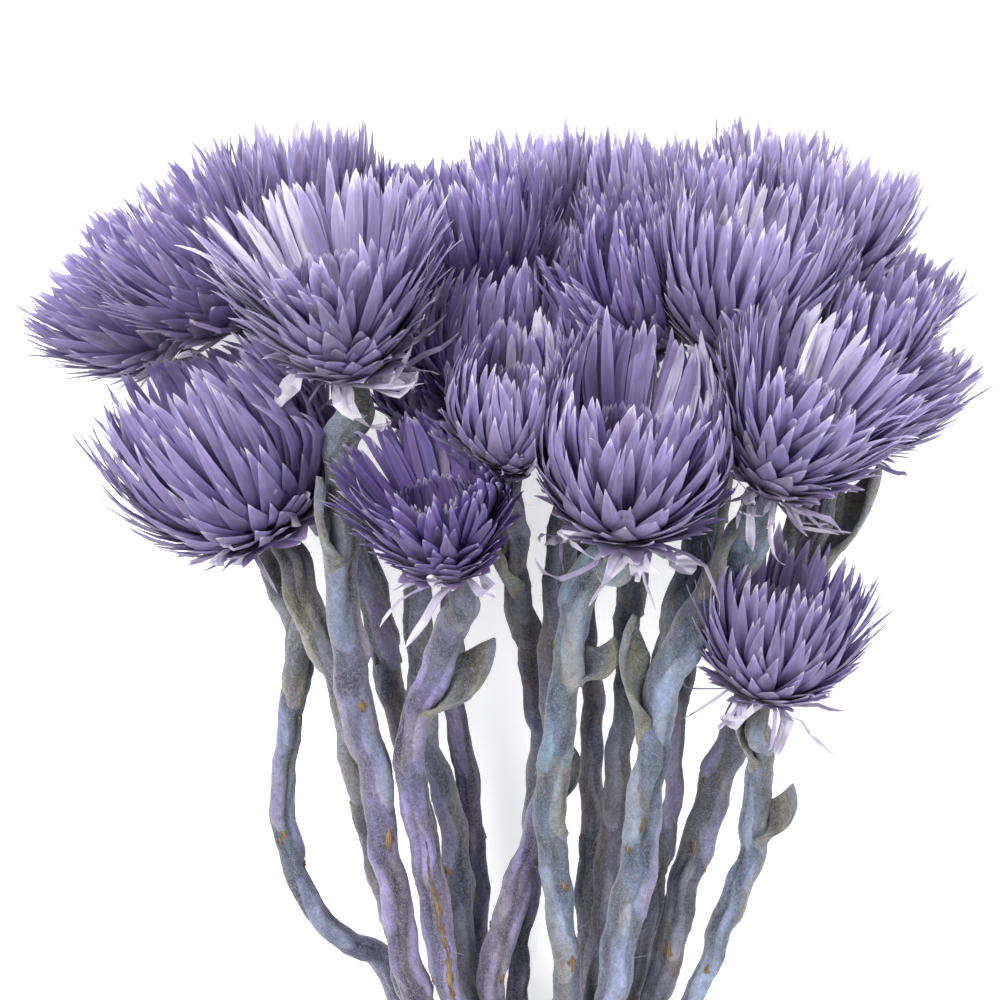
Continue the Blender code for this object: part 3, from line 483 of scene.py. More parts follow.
class Strand:
    """One stem or branch while the stems settle clear of each other."""

    def __init__(self, name, line, radius, parent=None):
        self.name, self.line, self.radius, self.parent = name, line, radius, parent
        self.target = line.copy()

    def radii(self):
        """Radius at each point: full under the head and slimmer towards the band."""
        narrowing = np.clip((self.line[:, 1] - TIE_Y) / (FAN_Y - TIE_Y), 0, 1)
        return self.radius * (WAIST + (1 - WAIST) * narrowing)


def touching_pairs(points, apart, least):
    """Index pairs of points that may come to touch in the next rounds."""
    squares = (points**2).sum(axis=1)
    distance = np.sqrt(np.maximum(squares[:, None] + squares[None, :] - 2 * points @ points.T, 0))
    return np.nonzero(np.triu(apart & (distance < least + PAIR_REACH)))


def settle(strands):
    """Moves the strands' points apart over a set number of rounds, to part stems that touch, with their
    heads' ends kept.
    """
    owner = np.concatenate([[k] * len(s.line) for k, s in enumerate(strands)])
    radii = np.concatenate([s.radii() for s in strands])
    least = (radii[:, None] + radii[None, :]) * (1 + LUMP) + 2 * GAP
    apart = owner[:, None] != owner[None, :]
    names = [s.name for s in strands]
    points = np.concatenate([s.line for s in strands])
    for k, strand in enumerate(strands):
        if strand.parent is None:
            continue
        near = np.linalg.norm(points - strand.line[-1], axis=1) < FORK_CLEAR
        family = np.isin(owner, [k, names.index(strand.parent)]) & near
        apart &= ~(family[:, None] & family[None, :])
    give = np.array(GIVE)
    for turn in range(SETTLE_ROUNDS):
        points = np.concatenate([s.line for s in strands])
        if turn % PAIR_ROUNDS == 0:
            first, second = touching_pairs(points, apart, least)
        offset = points[first] - points[second]
        distance = np.linalg.norm(offset, axis=1) + 1e-9
        lack = np.maximum(least[first, second] - distance, 0)
        push = offset * (PUSH * lack / distance)[:, None]
        total, count = np.zeros_like(points), np.zeros(len(points))
        np.add.at(total, first, push)
        np.add.at(total, second, -push)
        np.add.at(count, first, lack > 0)
        np.add.at(count, second, lack > 0)
        points = points + total / np.maximum(count, 1)[:, None] * give
        points[:, 2] = np.maximum(points[:, 2], radii * (1 + LUMP) + FLOOR_CLEAR)
        start = 0
        for strand in strands:
            shift = points[start:start + len(strand.line)] - strand.target
            start += len(shift)
            smooth = shift.copy()
            smooth[1:-1] = 0.5 * shift[1:-1] + 0.25 * (shift[:-2] + shift[2:])
            smooth[:2] = 0
            strand.line = strand.target + smooth * HOLD
        for strand in strands:
            if strand.parent is not None:
                parent = strands[names.index(strand.parent)].line
                strand.line[-1] = parent[np.argmin(np.linalg.norm(parent - strand.line[-1], axis=1))]
                strand.line[-2] = 0.5 * (strand.line[-1] + strand.line[-3])


def stem_lines():
    """The settled middle line of each stem and branch."""
    strands = []
    draw = random.Random(SEED)
    for name, (head, radius, depth, points) in STEMS.items():
        cut = STEM_END_Y + draw.uniform(0, RAGGED)
        strands.append(Strand(name, stem_route(head, depth, points, cut), radius * MM))
    by_name = {s.name: s for s in strands}
    for name, (head, parent, fork_y, radius, points) in BRANCHES.items():
        line = branch_route(head, by_name[parent].line, fork_y, points)
        strands.append(Strand(name, line, radius * MM, parent))
    settle(strands)
    return {s.name: s for s in strands}


class Shape:
    """A mesh put together from batches of points and faces, with two values for its materials."""

    def __init__(self):
        self.points, self.places, self.tones, self.faces, self.slots = [], [], [], [], []
        self.smooth, self.rims = [], []
        self.total = 0

    def add(self, points, faces, places, tones, slots=0, smooth=True, rims=None):
        """Adds points (n, 3), lists of face arrays, the place (n, 3) and tone (n, 4) of each point, the
        material slot of all or each of the lists, and which points lie on a rim that is sharp."""
        self.rims.append(np.zeros(len(points), dtype=bool) if rims is None else rims)
        for batch, slot in zip(faces, np.broadcast_to(slots, len(faces))):
            self.faces.append(batch + self.total)
            self.slots.append(np.full(len(batch), slot))
            self.smooth.append(np.full(len(batch), smooth))
        self.points.append(points)
        self.places.append(places)
        self.tones.append(tones)
        self.total += len(points)

    def made(self, name, materials):
        """The finished object, with its place and tone attributes."""
        mesh = bpy.data.meshes.new(name)
        loops = np.concatenate([batch.ravel() for batch in self.faces])
        sizes = np.concatenate([np.full(len(batch), batch.shape[1]) for batch in self.faces])
        mesh.vertices.add(self.total)
        mesh.vertices.foreach_set("co", np.concatenate(self.points).ravel())
        mesh.loops.add(len(loops))
        mesh.loops.foreach_set("vertex_index", loops.astype(np.int32))
        mesh.polygons.add(len(sizes))
        mesh.polygons.foreach_set("loop_start", (np.cumsum(sizes) - sizes).astype(np.int32))
        mesh.polygons.foreach_set("material_index", np.concatenate(self.slots).astype(np.int32))
        mesh.polygons.foreach_set("use_smooth", np.concatenate(self.smooth))
        mesh.update(calc_edges=True)
        ends = np.zeros(len(mesh.edges) * 2, dtype=np.int32)
        mesh.edges.foreach_get("vertices", ends)
        sharp = np.concatenate(self.rims)[ends].reshape(-1, 2).all(axis=1)
        mesh.attributes.new("sharp_edge", "BOOLEAN", "EDGE").data.foreach_set("value", sharp)
        place = mesh.attributes.new("place", "FLOAT_VECTOR", "POINT")
        place.data.foreach_set("vector", np.concatenate(self.places).astype(np.float32).ravel())
        tone = mesh.attributes.new("tone", "FLOAT_COLOR", "POINT")
        tone.data.foreach_set("color", np.concatenate(self.tones).astype(np.float32).ravel())
        for material in materials:
            mesh.materials.append(material)
        made = bpy.data.objects.new(name, mesh)
        bpy.context.scene.collection.objects.link(made)
        return made


def smooth_step(x):
    x = np.clip(x, 0, 1)
    return x * x * (3 - 2 * x)


def bract_profile(widest, sharpness):
    """Shares of the greatest half width at each ring, from a narrow root to a blunt or pointed tip."""
    s = np.array(STEPS)[None, :]
    widest, sharpness = widest[:, None], sharpness[:, None]
    rising = 0.50 + 0.50 * np.sin(np.clip(s / widest, 0, 1) * math.pi / 2)
    falling = 1 - np.clip((s - widest) / (1 - widest), 0, 1) ** sharpness
    return np.where(s < widest, rising, falling)


def folded(draw, count, size):
    """Sudden changes of way along torn strips, as where dry paper has folded."""
    steps = np.zeros((count, SPANS))
    rows = np.arange(count)
    for _ in range(2):
        np.add.at(steps, (rows, draw.integers(1, SPANS - 1, count)), draw.normal(0, size, count))
    return np.cumsum(steps, axis=1)


class Sheaf:
    """Bracts of one head that are grown together: an array of values for each of their properties."""

    def __init__(self, name, index, strands, draw):
        self.name, self.index, self.draw = name, index, draw
        self.length = HEADS[name][3] * MM
        self.broad = (USUAL_LENGTH / self.length) ** 0.3
        self.axis, self.foot = axis_of(name), foot_of(name)
        middle, reach = middle_of(name)
        self.stretches = stretches_near(strands, middle, 2.4 * reach)
        self.cell = cell_of(name)

    def ways(self, turns):
        """Directions out of the axis at turns round it."""
        u, v = frame_of(self.axis)
        return np.cos(turns)[:, None] * u + np.sin(turns)[:, None] * v

    def grow(self, turns, height, radius, angles, sway, reach, half, outline, cup, twist, kink, light, hue,
             silver_and_gleam, shape, smooth=True):
        """Grows the bracts and adds them to the head's shape."""
        count, length = len(turns), self.length
        out = self.ways(turns)
        side = np.cross(self.axis, out)
        roots = self.foot + self.axis * (height * length)[:, None] + out * (radius * length)[:, None]
        reach = reach * length
        slack = NEIGHBOUR_SLACK + self.draw.normal(0, SLACK_SPREAD, count)
        rest = FLOOR_REST + FLOOR_SPREAD * self.draw.random(count) ** 2
        lines = grown_lines(roots, self.axis, out, side, angles, sway, reach, slack, rest, self.cell,
                            self.stretches)
        profile = bract_profile(*outline)
        half = half * length
        points = bract_mesh(lines, side, half, cup, twist, profile, kink)
        x, around = np.array(ACROSS), len(ACROSS)
        across = (half[:, None, None] * profile[:, :SPANS, None] * x) / MM
        across = np.concatenate([across.reshape(count, -1), np.zeros((count, 1))], axis=1)
        shares = np.concatenate([np.repeat(STEPS[:SPANS], around), [1.0]])
        shares = np.broadcast_to(shares, across.shape)
        seeds = np.broadcast_to((turns * 7.31 + self.index * 100)[:, None], across.shape)
        places = np.stack([across, shares * (reach / MM)[:, None], seeds], axis=2).reshape(-1, 3)
        edge = np.concatenate([np.tile(np.abs(x) > 0.9, SPANS), [True]])
        # Painted light on the thin edges and the tip of each bract, as if light shone through them.
        light = np.clip(light[:, None] + EDGE_PAINTED_LIGHT * edge, 0, 1)
        others = [np.broadcast_to(values[:, None], across.shape) for values in (hue, silver_and_gleam)]
        tones = np.stack([shares, light] + others, axis=2)
        faces = bract_faces(count, around)
        shape.add(points.reshape(-1, 3), faces, places, tones.reshape(-1, 4), 0, smooth,
                  np.tile(edge, count))


def head_bracts(sheaf, count, shape):
    """The whole bracts of a head, on a spiral from its foot to the tube, along the head's bowl."""
    _, _, _, _, openness, _, tips, _, _, _, gleam_way = HEADS[sheaf.name]
    draw = sheaf.draw
    keys = np.array(BRACT_KEYS)
    inward = (np.arange(count) + 0.5) / count
    height, radius, first, free, reach, width = (np.interp(inward, keys[:, 0], keys[:, k])
                                                 for k in range(1, keys.shape[1]))
    turns = np.arange(count) * GOLDEN_TURN + draw.normal(0, 0.08, count) + sheaf.index
    loose = draw.random(count) < 0.20
    first = first * (1 - SPREAD_STRAIGHTENS * tips) * (0.35 + 0.65 * openness)
    first = np.radians(first + draw.normal(0, 1.5, count))
    last = np.radians(tips - 4 * inward + draw.normal(0, 1.5, count))
    spread = 3 + LOOSENESS * smooth_step(1 - inward / 0.15)
    free = free + np.where(loose, draw.uniform(5, 18, count), 0)
    free = np.radians(free + draw.normal(0, 1, count) * spread)
    share = ((np.array(STEPS)[:-1] + np.array(STEPS)[1:]) / 2)[None, :]
    bowl = (share * np.minimum(reach, 1)[:, None]) ** CURL
    curl = np.radians(draw.normal(0, 1, count) * np.where(draw.random(count) < 0.3, 22, 8))
    angles = first[:, None] + (last - first)[:, None] * bowl + free[:, None] * share**2
    angles = angles + curl[:, None] * share**4
    reach = reach * REACH.get(sheaf.name, 1) * draw.normal(1, 0.055, count)
    bundled = -BUNDLING * np.sin(BUNDLES * turns + sheaf.index) * smooth_step((inward - 0.3) / 0.3)
    sway = (bundled + draw.normal(0, 0.09, count))[:, None] * np.linspace(-0.3, 1, SPANS)[None, :]
    half = width / 2 * np.exp(draw.normal(0, 0.17, count)) * sheaf.broad
    inner = smooth_step((inward - 0.55) / 0.35)
    outline = (draw.uniform(0.28, 0.42, count) + 0.12 * inner, draw.uniform(1.4, 2.4, count) + 3.0 * inner)
    kink = np.broadcast_to(draw.normal(0, 0.05, count)[:, None], (count, SPANS + 1))
    # The lowest bracts get painted light that lifts the shade at the head's foot; the rest is tone that
    # differs at random.
    light = draw.normal(0.38, 0.08, count) + 0.24 * smooth_step(1 - inward / 0.35)
    hue = np.clip(draw.normal(0.38, 0.14, count) + 0.5 * smooth_step(1 - inward / 0.30), 0, 1)
    silver_and_gleam = np.zeros(count)
    # Bracts that face the head's gleam way get a painted silvery reflection in their colour.
    if gleam_way is not None:
        way = math.radians(gleam_way)
        aim = normalised(sheaf.ways(turns)[:, :2]) @ np.array([math.cos(way), math.sin(way)])
        gleaming = (inward > 0.3) & (aim > math.cos(math.radians(PAINTED_GLEAM_SPREAD))) & (draw.random(count) < 0.5)
        silver_and_gleam = np.where(gleaming, draw.uniform(0.35, 1.0, count), silver_and_gleam)
    sheaf.grow(turns, height, radius, angles, sway, reach, half, outline, draw.uniform(0.08, 0.22, count),
               draw.normal(0, 0.09, count), kink, light, hue, silver_and_gleam, shape)


def tube_bracts(sheaf, count, shape):
    """The inmost bracts, packed side by side round the florets with their blunt tips at one level."""
    draw, mouth = sheaf.draw, HEADS[sheaf.name][7]
    values = np.array(TUBE_CLOSED) * (1 - mouth) + np.array(TUBE_OPEN) * mouth
    height, radius, first, last, reach, width = (np.full(count, value) for value in values)
    turns = np.arange(count) * GOLDEN_TURN + draw.normal(0, 0.05, count)
    layer = draw.uniform(-1, 1, count)
    first, last = np.radians(first + 5 * layer), np.radians(last + 3 * layer + draw.normal(0, 2, count))
    share = np.linspace(0, 1, SPANS)[None, :]
    angles = first[:, None] + (last - first)[:, None] * share
    sway = draw.normal(0, 0.04, count)[:, None] * share
    zero = np.zeros(count)
    sheaf.grow(turns, height, radius + 0.008 * layer, angles, sway,
               reach * REACH.get(sheaf.name, 1) * draw.normal(1, 0.03, count),
               width / 2 * sheaf.broad * draw.uniform(0.85, 1.15, count),
               (draw.uniform(0.45, 0.60, count), draw.uniform(4, 6, count)), draw.uniform(0.2, 0.4, count),
               zero, np.broadcast_to(zero[:, None], (count, SPANS + 1)), draw.normal(0.40, 0.10, count),
               draw.normal(0.42, 0.12, count).clip(0, 1), zero, shape)


def torn_bracts(sheaf, count, shape):
    """The oldest bracts at a head's foot, bent back, folded and torn, pale silvery with a painted gleam, or
    brown.
    """
    draw = sheaf.draw
    thin = draw.random(count) < 0.45
    turns = np.arange(count) * GOLDEN_TURN + draw.uniform(0, 6)
    first, last = np.radians(draw.uniform(78, 118, count)), np.radians(draw.uniform(40, 135, count))
    share = np.linspace(0, 1, SPANS)[None, :]
    angles = first[:, None] + (last - first)[:, None] * share + folded(draw, count, 0.85)
    sway = draw.normal(0, 0.5, count)[:, None] + folded(draw, count, 0.7) * np.where(thin, 0.4, 1)[:, None]
    kink = np.concatenate([np.zeros((count, 1)), folded(draw, count, 1.3)], axis=1)
    reach = np.where(thin, draw.uniform(0.35, 0.75, count), draw.uniform(0.26, 0.50, count))
    half = np.where(thin, 0.016, draw.uniform(0.026, 0.058, count))
    outline = (draw.uniform(0.25, 0.50, count), draw.uniform(3, 8, count))
    silver_and_gleam = np.where(thin, draw.uniform(0, 0.7, count), draw.uniform(0.6, 1.0, count))
    sheaf.grow(turns, draw.uniform(-0.01, 0.05, count), np.full(count, 0.10), angles, sway, reach, half,
               outline, draw.uniform(0, 0.2, count), draw.normal(0, 0.6, count), kink,
               draw.normal(0.34, 0.18, count), draw.uniform(0.6, 1.0, count), silver_and_gleam, shape, False)


def revolved(profile, around, wobble, draw):
    """Points and faces of a closed turned form from radius and height pairs, top first."""
    turns = np.arange(around) * 2 * math.pi / around
    points = []
    for r, z in profile:
        radii = r * (1 + wobble * draw.normal(0, 1, around))
        points.append(np.stack([radii * np.cos(turns), radii * np.sin(turns), np.full(around, z)], axis=1))
    last = (len(profile) - 1) * around
    caps = np.array([list(range(around)), [last + i for i in reversed(range(around))]])
    return np.concatenate(points), [ring_faces(len(profile), around), caps]


def head_core(name, index, shape):
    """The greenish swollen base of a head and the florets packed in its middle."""
    length, openness = HEADS[name][3] * MM, HEADS[name][4]
    draw = np.random.default_rng(SEED + 1000 + index)
    axis = axis_of(name)
    u, v = frame_of(axis)
    spread = np.stack([u, v, axis])
    foot = foot_of(name)
    swell = 0.55 + 0.45 * openness
    profile = [(0.02, 0.30), (0.08, 0.30), (0.13 * swell, 0.27), (0.155 * swell, 0.22), (0.15, 0.13),
               (0.13, 0.07), (0.11, 0.02), (0.10, 0.0)]
    points, faces = revolved([(r * length, z * length) for r, z in profile], 16, 0.03, draw)
    tones = np.zeros((len(points), 4))
    tones[:, 0] = points[:, 2] / length
    tones[:, 1] = draw.random(len(points))
    shape.add(points @ spread + foot, faces, points / MM, tones, 1)
    florets = 80 if HEADS[name][7] > 0.45 else 36
    radii = 0.135 * swell * length * np.sqrt((np.arange(florets) + 0.5) / florets)
    turns = np.arange(florets) * GOLDEN_TURN
    for k in range(florets):
        lean = 0.9 * radii[k] / (0.135 * swell * length) * 0.4
        thick = 0.008 * length * draw.uniform(0.8, 1.3)
        rise = length * draw.uniform(0.08, 0.15)
        place = np.array([radii[k] * math.cos(turns[k]), radii[k] * math.sin(turns[k]), 0.27 * length])
        way = np.array([lean * math.cos(turns[k]), lean * math.sin(turns[k]), 1.0])
        rings = [(0.8, 0.0), (1.0, 0.5), (1.25, 0.8), (0.9, 1.0)]
        points, faces = revolved([(thick * r, rise * z) for r, z in reversed(rings)], 5, 0.05, draw)
        points = points[:, :2] @ np.eye(2, 3) + place + way * points[:, 2:3]
        tones = np.zeros((len(points), 4))
        tones[:, 0] = 1.0
        tones[:, 1] = draw.uniform(0, 1)
        shape.add(points @ spread + foot, faces, points / MM, tones, 2)


class Shader:
    """A material whose nodes are added one at a time."""

    def __init__(self, name):
        self.material = bpy.data.materials.new(name)
        self.material.use_nodes = True
        self.tree = self.material.node_tree
        self.tree.nodes.clear()

    def add(self, kind, values, **settings):
        """A node, its settings, and its inputs by name or number, as values or as other sockets."""
        node = self.tree.nodes.new("ShaderNode" + kind)
        for key, value in settings.items():
            setattr(node, key, value)
        for key, value in values.items():
            if isinstance(value, bpy.types.NodeSocket):
                self.tree.links.new(value, node.inputs[key])
            elif isinstance(value, tuple) and len(value) == 3 and node.inputs[key].type == "RGBA":
                node.inputs[key].default_value = (*value, 1)
            else:
                node.inputs[key].default_value = value
        return node

    def reading(self, name):
        return self.add("Attribute", {}, attribute_name=name, attribute_type="GEOMETRY")

    def maths(self, operation, first, second=0.0, extra=0.0):
        return self.add("Math", {0: first, 1: second, 2: extra}, operation=operation).outputs[0]

    def fibres(self, value):
        """Thin lines where a noise passes its middle, as fine fibres."""
        away = self.maths("ABSOLUTE", self.maths("SUBTRACT", value, 0.5))
        return self.ranged(away, 0.030, 0.006)

    def ranged(self, value, low, high, to_low=0.0, to_high=1.0):
        values = {"Value": value, "From Min": low, "From Max": high, "To Min": to_low, "To Max": to_high}
        return self.add("MapRange", values, interpolation_type="SMOOTHSTEP").outputs[0]

    def blend(self, factor, first, second, kind="MIX"):
        node = self.add("Mix", {}, data_type="RGBA", blend_type=kind)
        for key, value in ((0, factor), (6, first), (7, second)):
            if isinstance(value, bpy.types.NodeSocket):
                self.tree.links.new(value, node.inputs[key])
            elif isinstance(value, tuple):
                node.inputs[key].default_value = (*value, 1)
            else:
                node.inputs[key].default_value = value
        return node.outputs[2]

    def noise(self, vector, scale, detail=2.0, roughness=0.5):
        values = {"Vector": vector, "Scale": scale, "Detail": detail, "Roughness": roughness}
        return self.add("TexNoise", values).outputs[0]

    def stretched(self, vector, scale):
        return self.add("VectorMath", {0: vector, 1: scale}, operation="MULTIPLY").outputs[0]

    def total(self, first, second):
        return self.add("VectorMath", {0: first, 1: second}, operation="ADD").outputs[0]

    def bump(self, height, strength, distance, normal=None):
        values = {"Height": height, "Strength": strength, "Distance": distance}
        if normal is not None:
            values["Normal"] = normal
        return self.add("Bump", values).outputs[0]

    def finished(self, shader):
        self.add("OutputMaterial", {"Surface": shader})
        return self.material


def bract_material(name, deep, middle, pale, pale_and_backlit):
    """Papery satin bracts: fine lengthwise streaks, darker roots and pale tips with painted shade and light
    in them, painted light on thin edges and low bracts, and silvery dry patches with a painted gleam.
    """
    made = Shader(name)
    place, tone = made.reading("place"), made.reading("tone")
    parts = made.add("SeparateColor", {0: tone.outputs["Color"]})
    along, light, hue = parts.outputs[0], parts.outputs[1], parts.outputs[2]
    silver_and_gleam = tone.outputs["Alpha"]
    streaks = made.noise(made.stretched(place.outputs["Vector"], (4.5, 0.14, 1.0)), 1.0, 2.0, 0.6)
    clouds = made.noise(made.stretched(place.outputs["Vector"], (0.5, 0.22, 1.0)), 1.0, 1.0, 0.5)
    # Darker roots: the bracts' own deeper colour there, with painted shade where they lie under the bracts
    # outside them.
    colour = made.blend(made.ranged(along, 0.0, 0.36), deep, middle)
    # Pale tips: the bracts' own paler tips with painted light shining through them, made stronger by
    # painted backlight on pale heads.
    tips = made.maths("MULTIPLY", made.ranged(along, 0.36, 1.0), 0.46 + 0.46 * pale_and_backlit)
    colour = made.blend(tips, colour, pale)
    greyer = made.maths("MULTIPLY", made.ranged(hue, 0.40, 0.95), 0.75)
    colour = made.blend(greyer, colour, ROSE_GREY)
    bluer = made.ranged(hue, 0.40, 0.0, 0.0, 0.40)
    colour = made.blend(bluer, colour, SLATE_BLUE)
    streaky = made.ranged(streaks, 0.30, 0.70, 0.86, 1.14)
    # The light value holds tone that differs at random, with the painted light of thin edges and low
    # bracts.
    shade = made.maths("MULTIPLY", streaky, made.ranged(light, 0.0, 1.0, 0.74, 1.46))
    shade = made.maths("MULTIPLY", shade, made.ranged(clouds, 0.25, 0.75, 0.88, 1.10))
    grey = made.add("CombineColor", {0: shade, 1: shade, 2: shade}).outputs[0]
    colour = made.blend(1.0, colour, grey, "MULTIPLY")
    specks = made.noise(made.stretched(place.outputs["Vector"], (2.2, 0.9, 1.0)), 1.0, 1.0, 0.5)
    colour = made.blend(made.ranged(specks, 0.74, 0.80, 0.0, 0.6), colour, (0.20, 0.125, 0.075))
    flakes = made.noise(made.stretched(place.outputs["Vector"], (1.3, 0.14, 1.0)), 1.0, 1.0, 0.5)
    # Painted gleam: silver colour put where bracts reflect the light, partly the dry bracts' own pale
    # silver.
    silver_gleam_share = made.maths("MULTIPLY", silver_and_gleam, made.ranged(flakes, 0.32, 0.58, 0.35, 1.0))
    colour = made.blend(silver_gleam_share, colour, SILVER_AND_PAINTED_GLEAM)
    # White bract ends: their own dry tips with a painted glint, strongest where the painted light is.
    dry_tip_and_glint = made.maths("MULTIPLY", made.ranged(along, 0.90, 0.97), made.ranged(light, 0.45, 0.75, 0.3, 1.0))
    colour = made.blend(dry_tip_and_glint, colour, DRY_TIP_AND_GLINT)
    normal = made.bump(streaks, 0.34, 0.08 * MM)
    polish = made.maths("MAXIMUM", silver_gleam_share, dry_tip_and_glint)
    roughness = made.ranged(polish, 0.0, 1.0, 0.46, 0.22)
    gleam = made.ranged(silver_gleam_share, 0.3, 1.0, 0.0, 0.45)
    paper = made.add("BsdfPrincipled", {"Base Color": colour, "Roughness": roughness, "Normal": normal,
                                        "Metallic": gleam,
                                        "Specular IOR Level": 0.45, "Sheen Weight": 0.15,
                                        "Sheen Roughness": 0.4})
    through = made.blend(0.5, colour, pale, "SCREEN")
    glow = made.add("BsdfTranslucent", {"Color": through, "Normal": normal})
    clear = made.ranged(silver_gleam_share, 0.0, 1.0, 0.54, 0.28)
    mixed = made.add("MixShader", {0: clear, 1: paper.outputs[0], 2: glow.outputs[0]})
    return made.finished(mixed.outputs[0])


def base_material():
    """The dull yellowish green of a head's swollen base, greyer where wool clings to it."""
    made = Shader("head base")
    place = made.reading("place").outputs["Vector"]
    patches = made.noise(place, 0.35, 3.0, 0.6)
    grain = made.noise(place, 3.0, 2.0, 0.6)
    colour = made.blend(made.ranged(patches, 0.35, 0.65), (0.115, 0.105, 0.120), (0.235, 0.235, 0.115))
    colour = made.blend(made.ranged(grain, 0.4, 0.7, 0.0, 0.4), colour, (0.330, 0.300, 0.330))
    normal = made.bump(grain, 0.6, 0.3 * MM)
    shader = made.add("BsdfPrincipled", {"Base Color": colour, "Roughness": 0.85, "Normal": normal})
    return made.finished(shader.outputs[0])


def floret_material():
    """The greyish tan florets packed in the middle of a head."""
    made = Shader("head florets")
    place, tone = made.reading("place").outputs["Vector"], made.reading("tone")
    light = made.add("SeparateColor", {0: tone.outputs["Color"]}).outputs[1]
    grain = made.noise(place, 2.4, 2.0, 0.6)
    colour = made.blend(light, (0.130, 0.110, 0.150), (0.290, 0.250, 0.270))
    colour = made.blend(made.ranged(grain, 0.5, 0.75, 0.0, 0.6), colour, (0.150, 0.105, 0.075))
    normal = made.bump(grain, 0.5, 0.2 * MM)
    shader = made.add("BsdfPrincipled", {"Base Color": colour, "Roughness": 0.7, "Normal": normal})
    return made.finished(shader.outputs[0])


# Wool colours, and the ones that each stem goes through from its head down to its cut end
GREY = (0.130, 0.130, 0.160)
BLUE = (0.125, 0.165, 0.235)
TEAL = (0.088, 0.150, 0.178)
MAUVE = (0.165, 0.138, 0.285)
GREEN = (0.108, 0.115, 0.078)
BEIGE = (0.230, 0.210, 0.210)
OLIVE = (0.165, 0.140, 0.068)
PALE_BLUE_HIGHLIGHT = (0.220, 0.275, 0.370)
PALE_MAUVE = (0.245, 0.205, 0.370)
PINK = (0.270, 0.200, 0.250)
# Dark slate: partly the wool's own colour and partly painted shade, on stems that lie behind others under
# the heads.
SLATE_AND_SHADE = (0.085, 0.085, 0.110)
STEM_TINTS = {
    "stem_01": (GREEN, GREEN, BLUE, MAUVE, GREY),
    "stem_02": (OLIVE, GREEN, GREY, GREY, GREY),
    "stem_03": (GREEN, GREY, MAUVE, MAUVE, GREY),
    "stem_04": (GREY, MAUVE, MAUVE, SLATE_AND_SHADE, GREY),
    "stem_05": (GREEN, GREY, GREY, GREY, GREY),
    "stem_06": (GREY, GREY, MAUVE, SLATE_AND_SHADE, GREY),
    "stem_07": (GREY, GREY, MAUVE, BEIGE, GREY),
    "stem_08": (GREY, SLATE_AND_SHADE, GREY, GREY, GREY),
    "stem_09": (TEAL, TEAL, BLUE, BEIGE, MAUVE),
    "stem_10": (SLATE_AND_SHADE, SLATE_AND_SHADE, GREY, GREY, GREY),
    "stem_11": (TEAL, BLUE, BLUE, MAUVE, GREY),
    "stem_12": (GREEN, TEAL, GREY, BEIGE, GREY),
    "stem_13": (SLATE_AND_SHADE, GREY, GREY, GREY, GREY),
    "stem_14": (GREEN, GREY, GREY, BEIGE, GREY),
    "stem_15": (GREEN, BLUE, BLUE, PINK, GREY),
    "stem_16": (SLATE_AND_SHADE, GREY, GREY, GREY, GREY),
    "stem_17": (GREEN, GREY, GREY, GREY, GREY),
}
# Colours of the leaf bases pressed to a stem; the pale blue among them is a painted highlight
PATCHES = {
    "stem_01": (MAUVE, BEIGE, BLUE),
    "stem_03": (PALE_MAUVE, PINK, MAUVE, BLUE),
    "stem_04": (PALE_MAUVE, MAUVE, BEIGE, MAUVE),
    "stem_09": (OLIVE, TEAL, TEAL, BEIGE),
    "stem_11": (OLIVE, PALE_BLUE_HIGHLIGHT, TEAL, BLUE, PALE_MAUVE),
    "stem_12": (BEIGE, OLIVE, GREY),
    "stem_14": (BEIGE, GREY, PINK, MAUVE),
    "stem_15": (PALE_BLUE_HIGHLIGHT, OLIVE, BLUE),
}
OTHER_PATCHES = (BEIGE, GREY, MAUVE, SLATE_AND_SHADE)
TINT_PLACES = (0.0, 0.14, 0.35, 0.65, 1.0)

RING_STEP = 1.0 * MM
STEM_SIDES = 26
NECK = 0.80
NECK_RUN = 9 * MM
PAD_SPACING = 11 * MM  # between the leaf bases that are pressed to a stem
PAD_LENGTH = 23 * MM
PAD_RISE = 0.28  # of the stem's radius
STEM_BODY = 0.92
FOLDS = 3  # long folds in the wool of each stem
FOLD_DEPTH = 0.26  # of the stem's radius
FOLD_HALF = 0.24  # in radians round the stem
WANDER = 0.5 * MM
FIBRE_HALF = 0.03 * MM
FIBRES_PER_MM = 0.7
# Long tears: stem, middle place along +Y, turn about the stem, length and width in mm
STRIPES = (
    ("stem_04", -8, 82, 44, 1.9),
    ("stem_04", -24, 104, 14, 1.5),
    ("stem_03", 10, 96, 6.5, 2.2),
    ("stem_03", 35, 92, 3.4, 2.4),
    ("stem_09", -12, 88, 5.0, 2.4),
    ("stem_09", 2, 92, 3.0, 1.6),
    ("stem_11", 14, 90, 4.0, 1.8),
    ("stem_14", 8, 80, 3.2, 2.0),
    ("stem_14", -11, 84, 4.6, 2.2),
    ("stem_15", -14, 80, 3.0, 1.8),
    ("stem_01", 9, 70, 2.8, 1.8),
)
LEAF_ROLL = math.radians(55)  # leaves at the sides turn their blades up
LOWEST = 0.05 * MM  # nothing of the stems is nearer to the floor
LOWEST_LEAF = 0.2 * MM
FORK_SWELL = 0.25  # of the radius, where a branch joins its stem
FORK_SWELL_RUN = 12 * MM
WANDER_RUN = 8 * MM
STEM_NOISE = 600  # how fine the unevenness of the wool is, per metre, and how deep
STEM_ROUGH = 0.22 * MM
LEAF_NOISE = 500
LEAF_ROUGH = 0.3 * MM
STREAK_SCALE = (0.34, 0.050, 0.34)  # of the wool's long streaks of colour, per mm
WARM_WOOL = (0.165, 0.145, 0.125)
COOL_WOOL = (0.120, 0.130, 0.230)
FIBRE_TINT = (0.34, 0.33, 0.42)
TORN_PADS = 0.38  # share of the leaf bases that have a small tear
BELOW_HEADS = 30 * MM
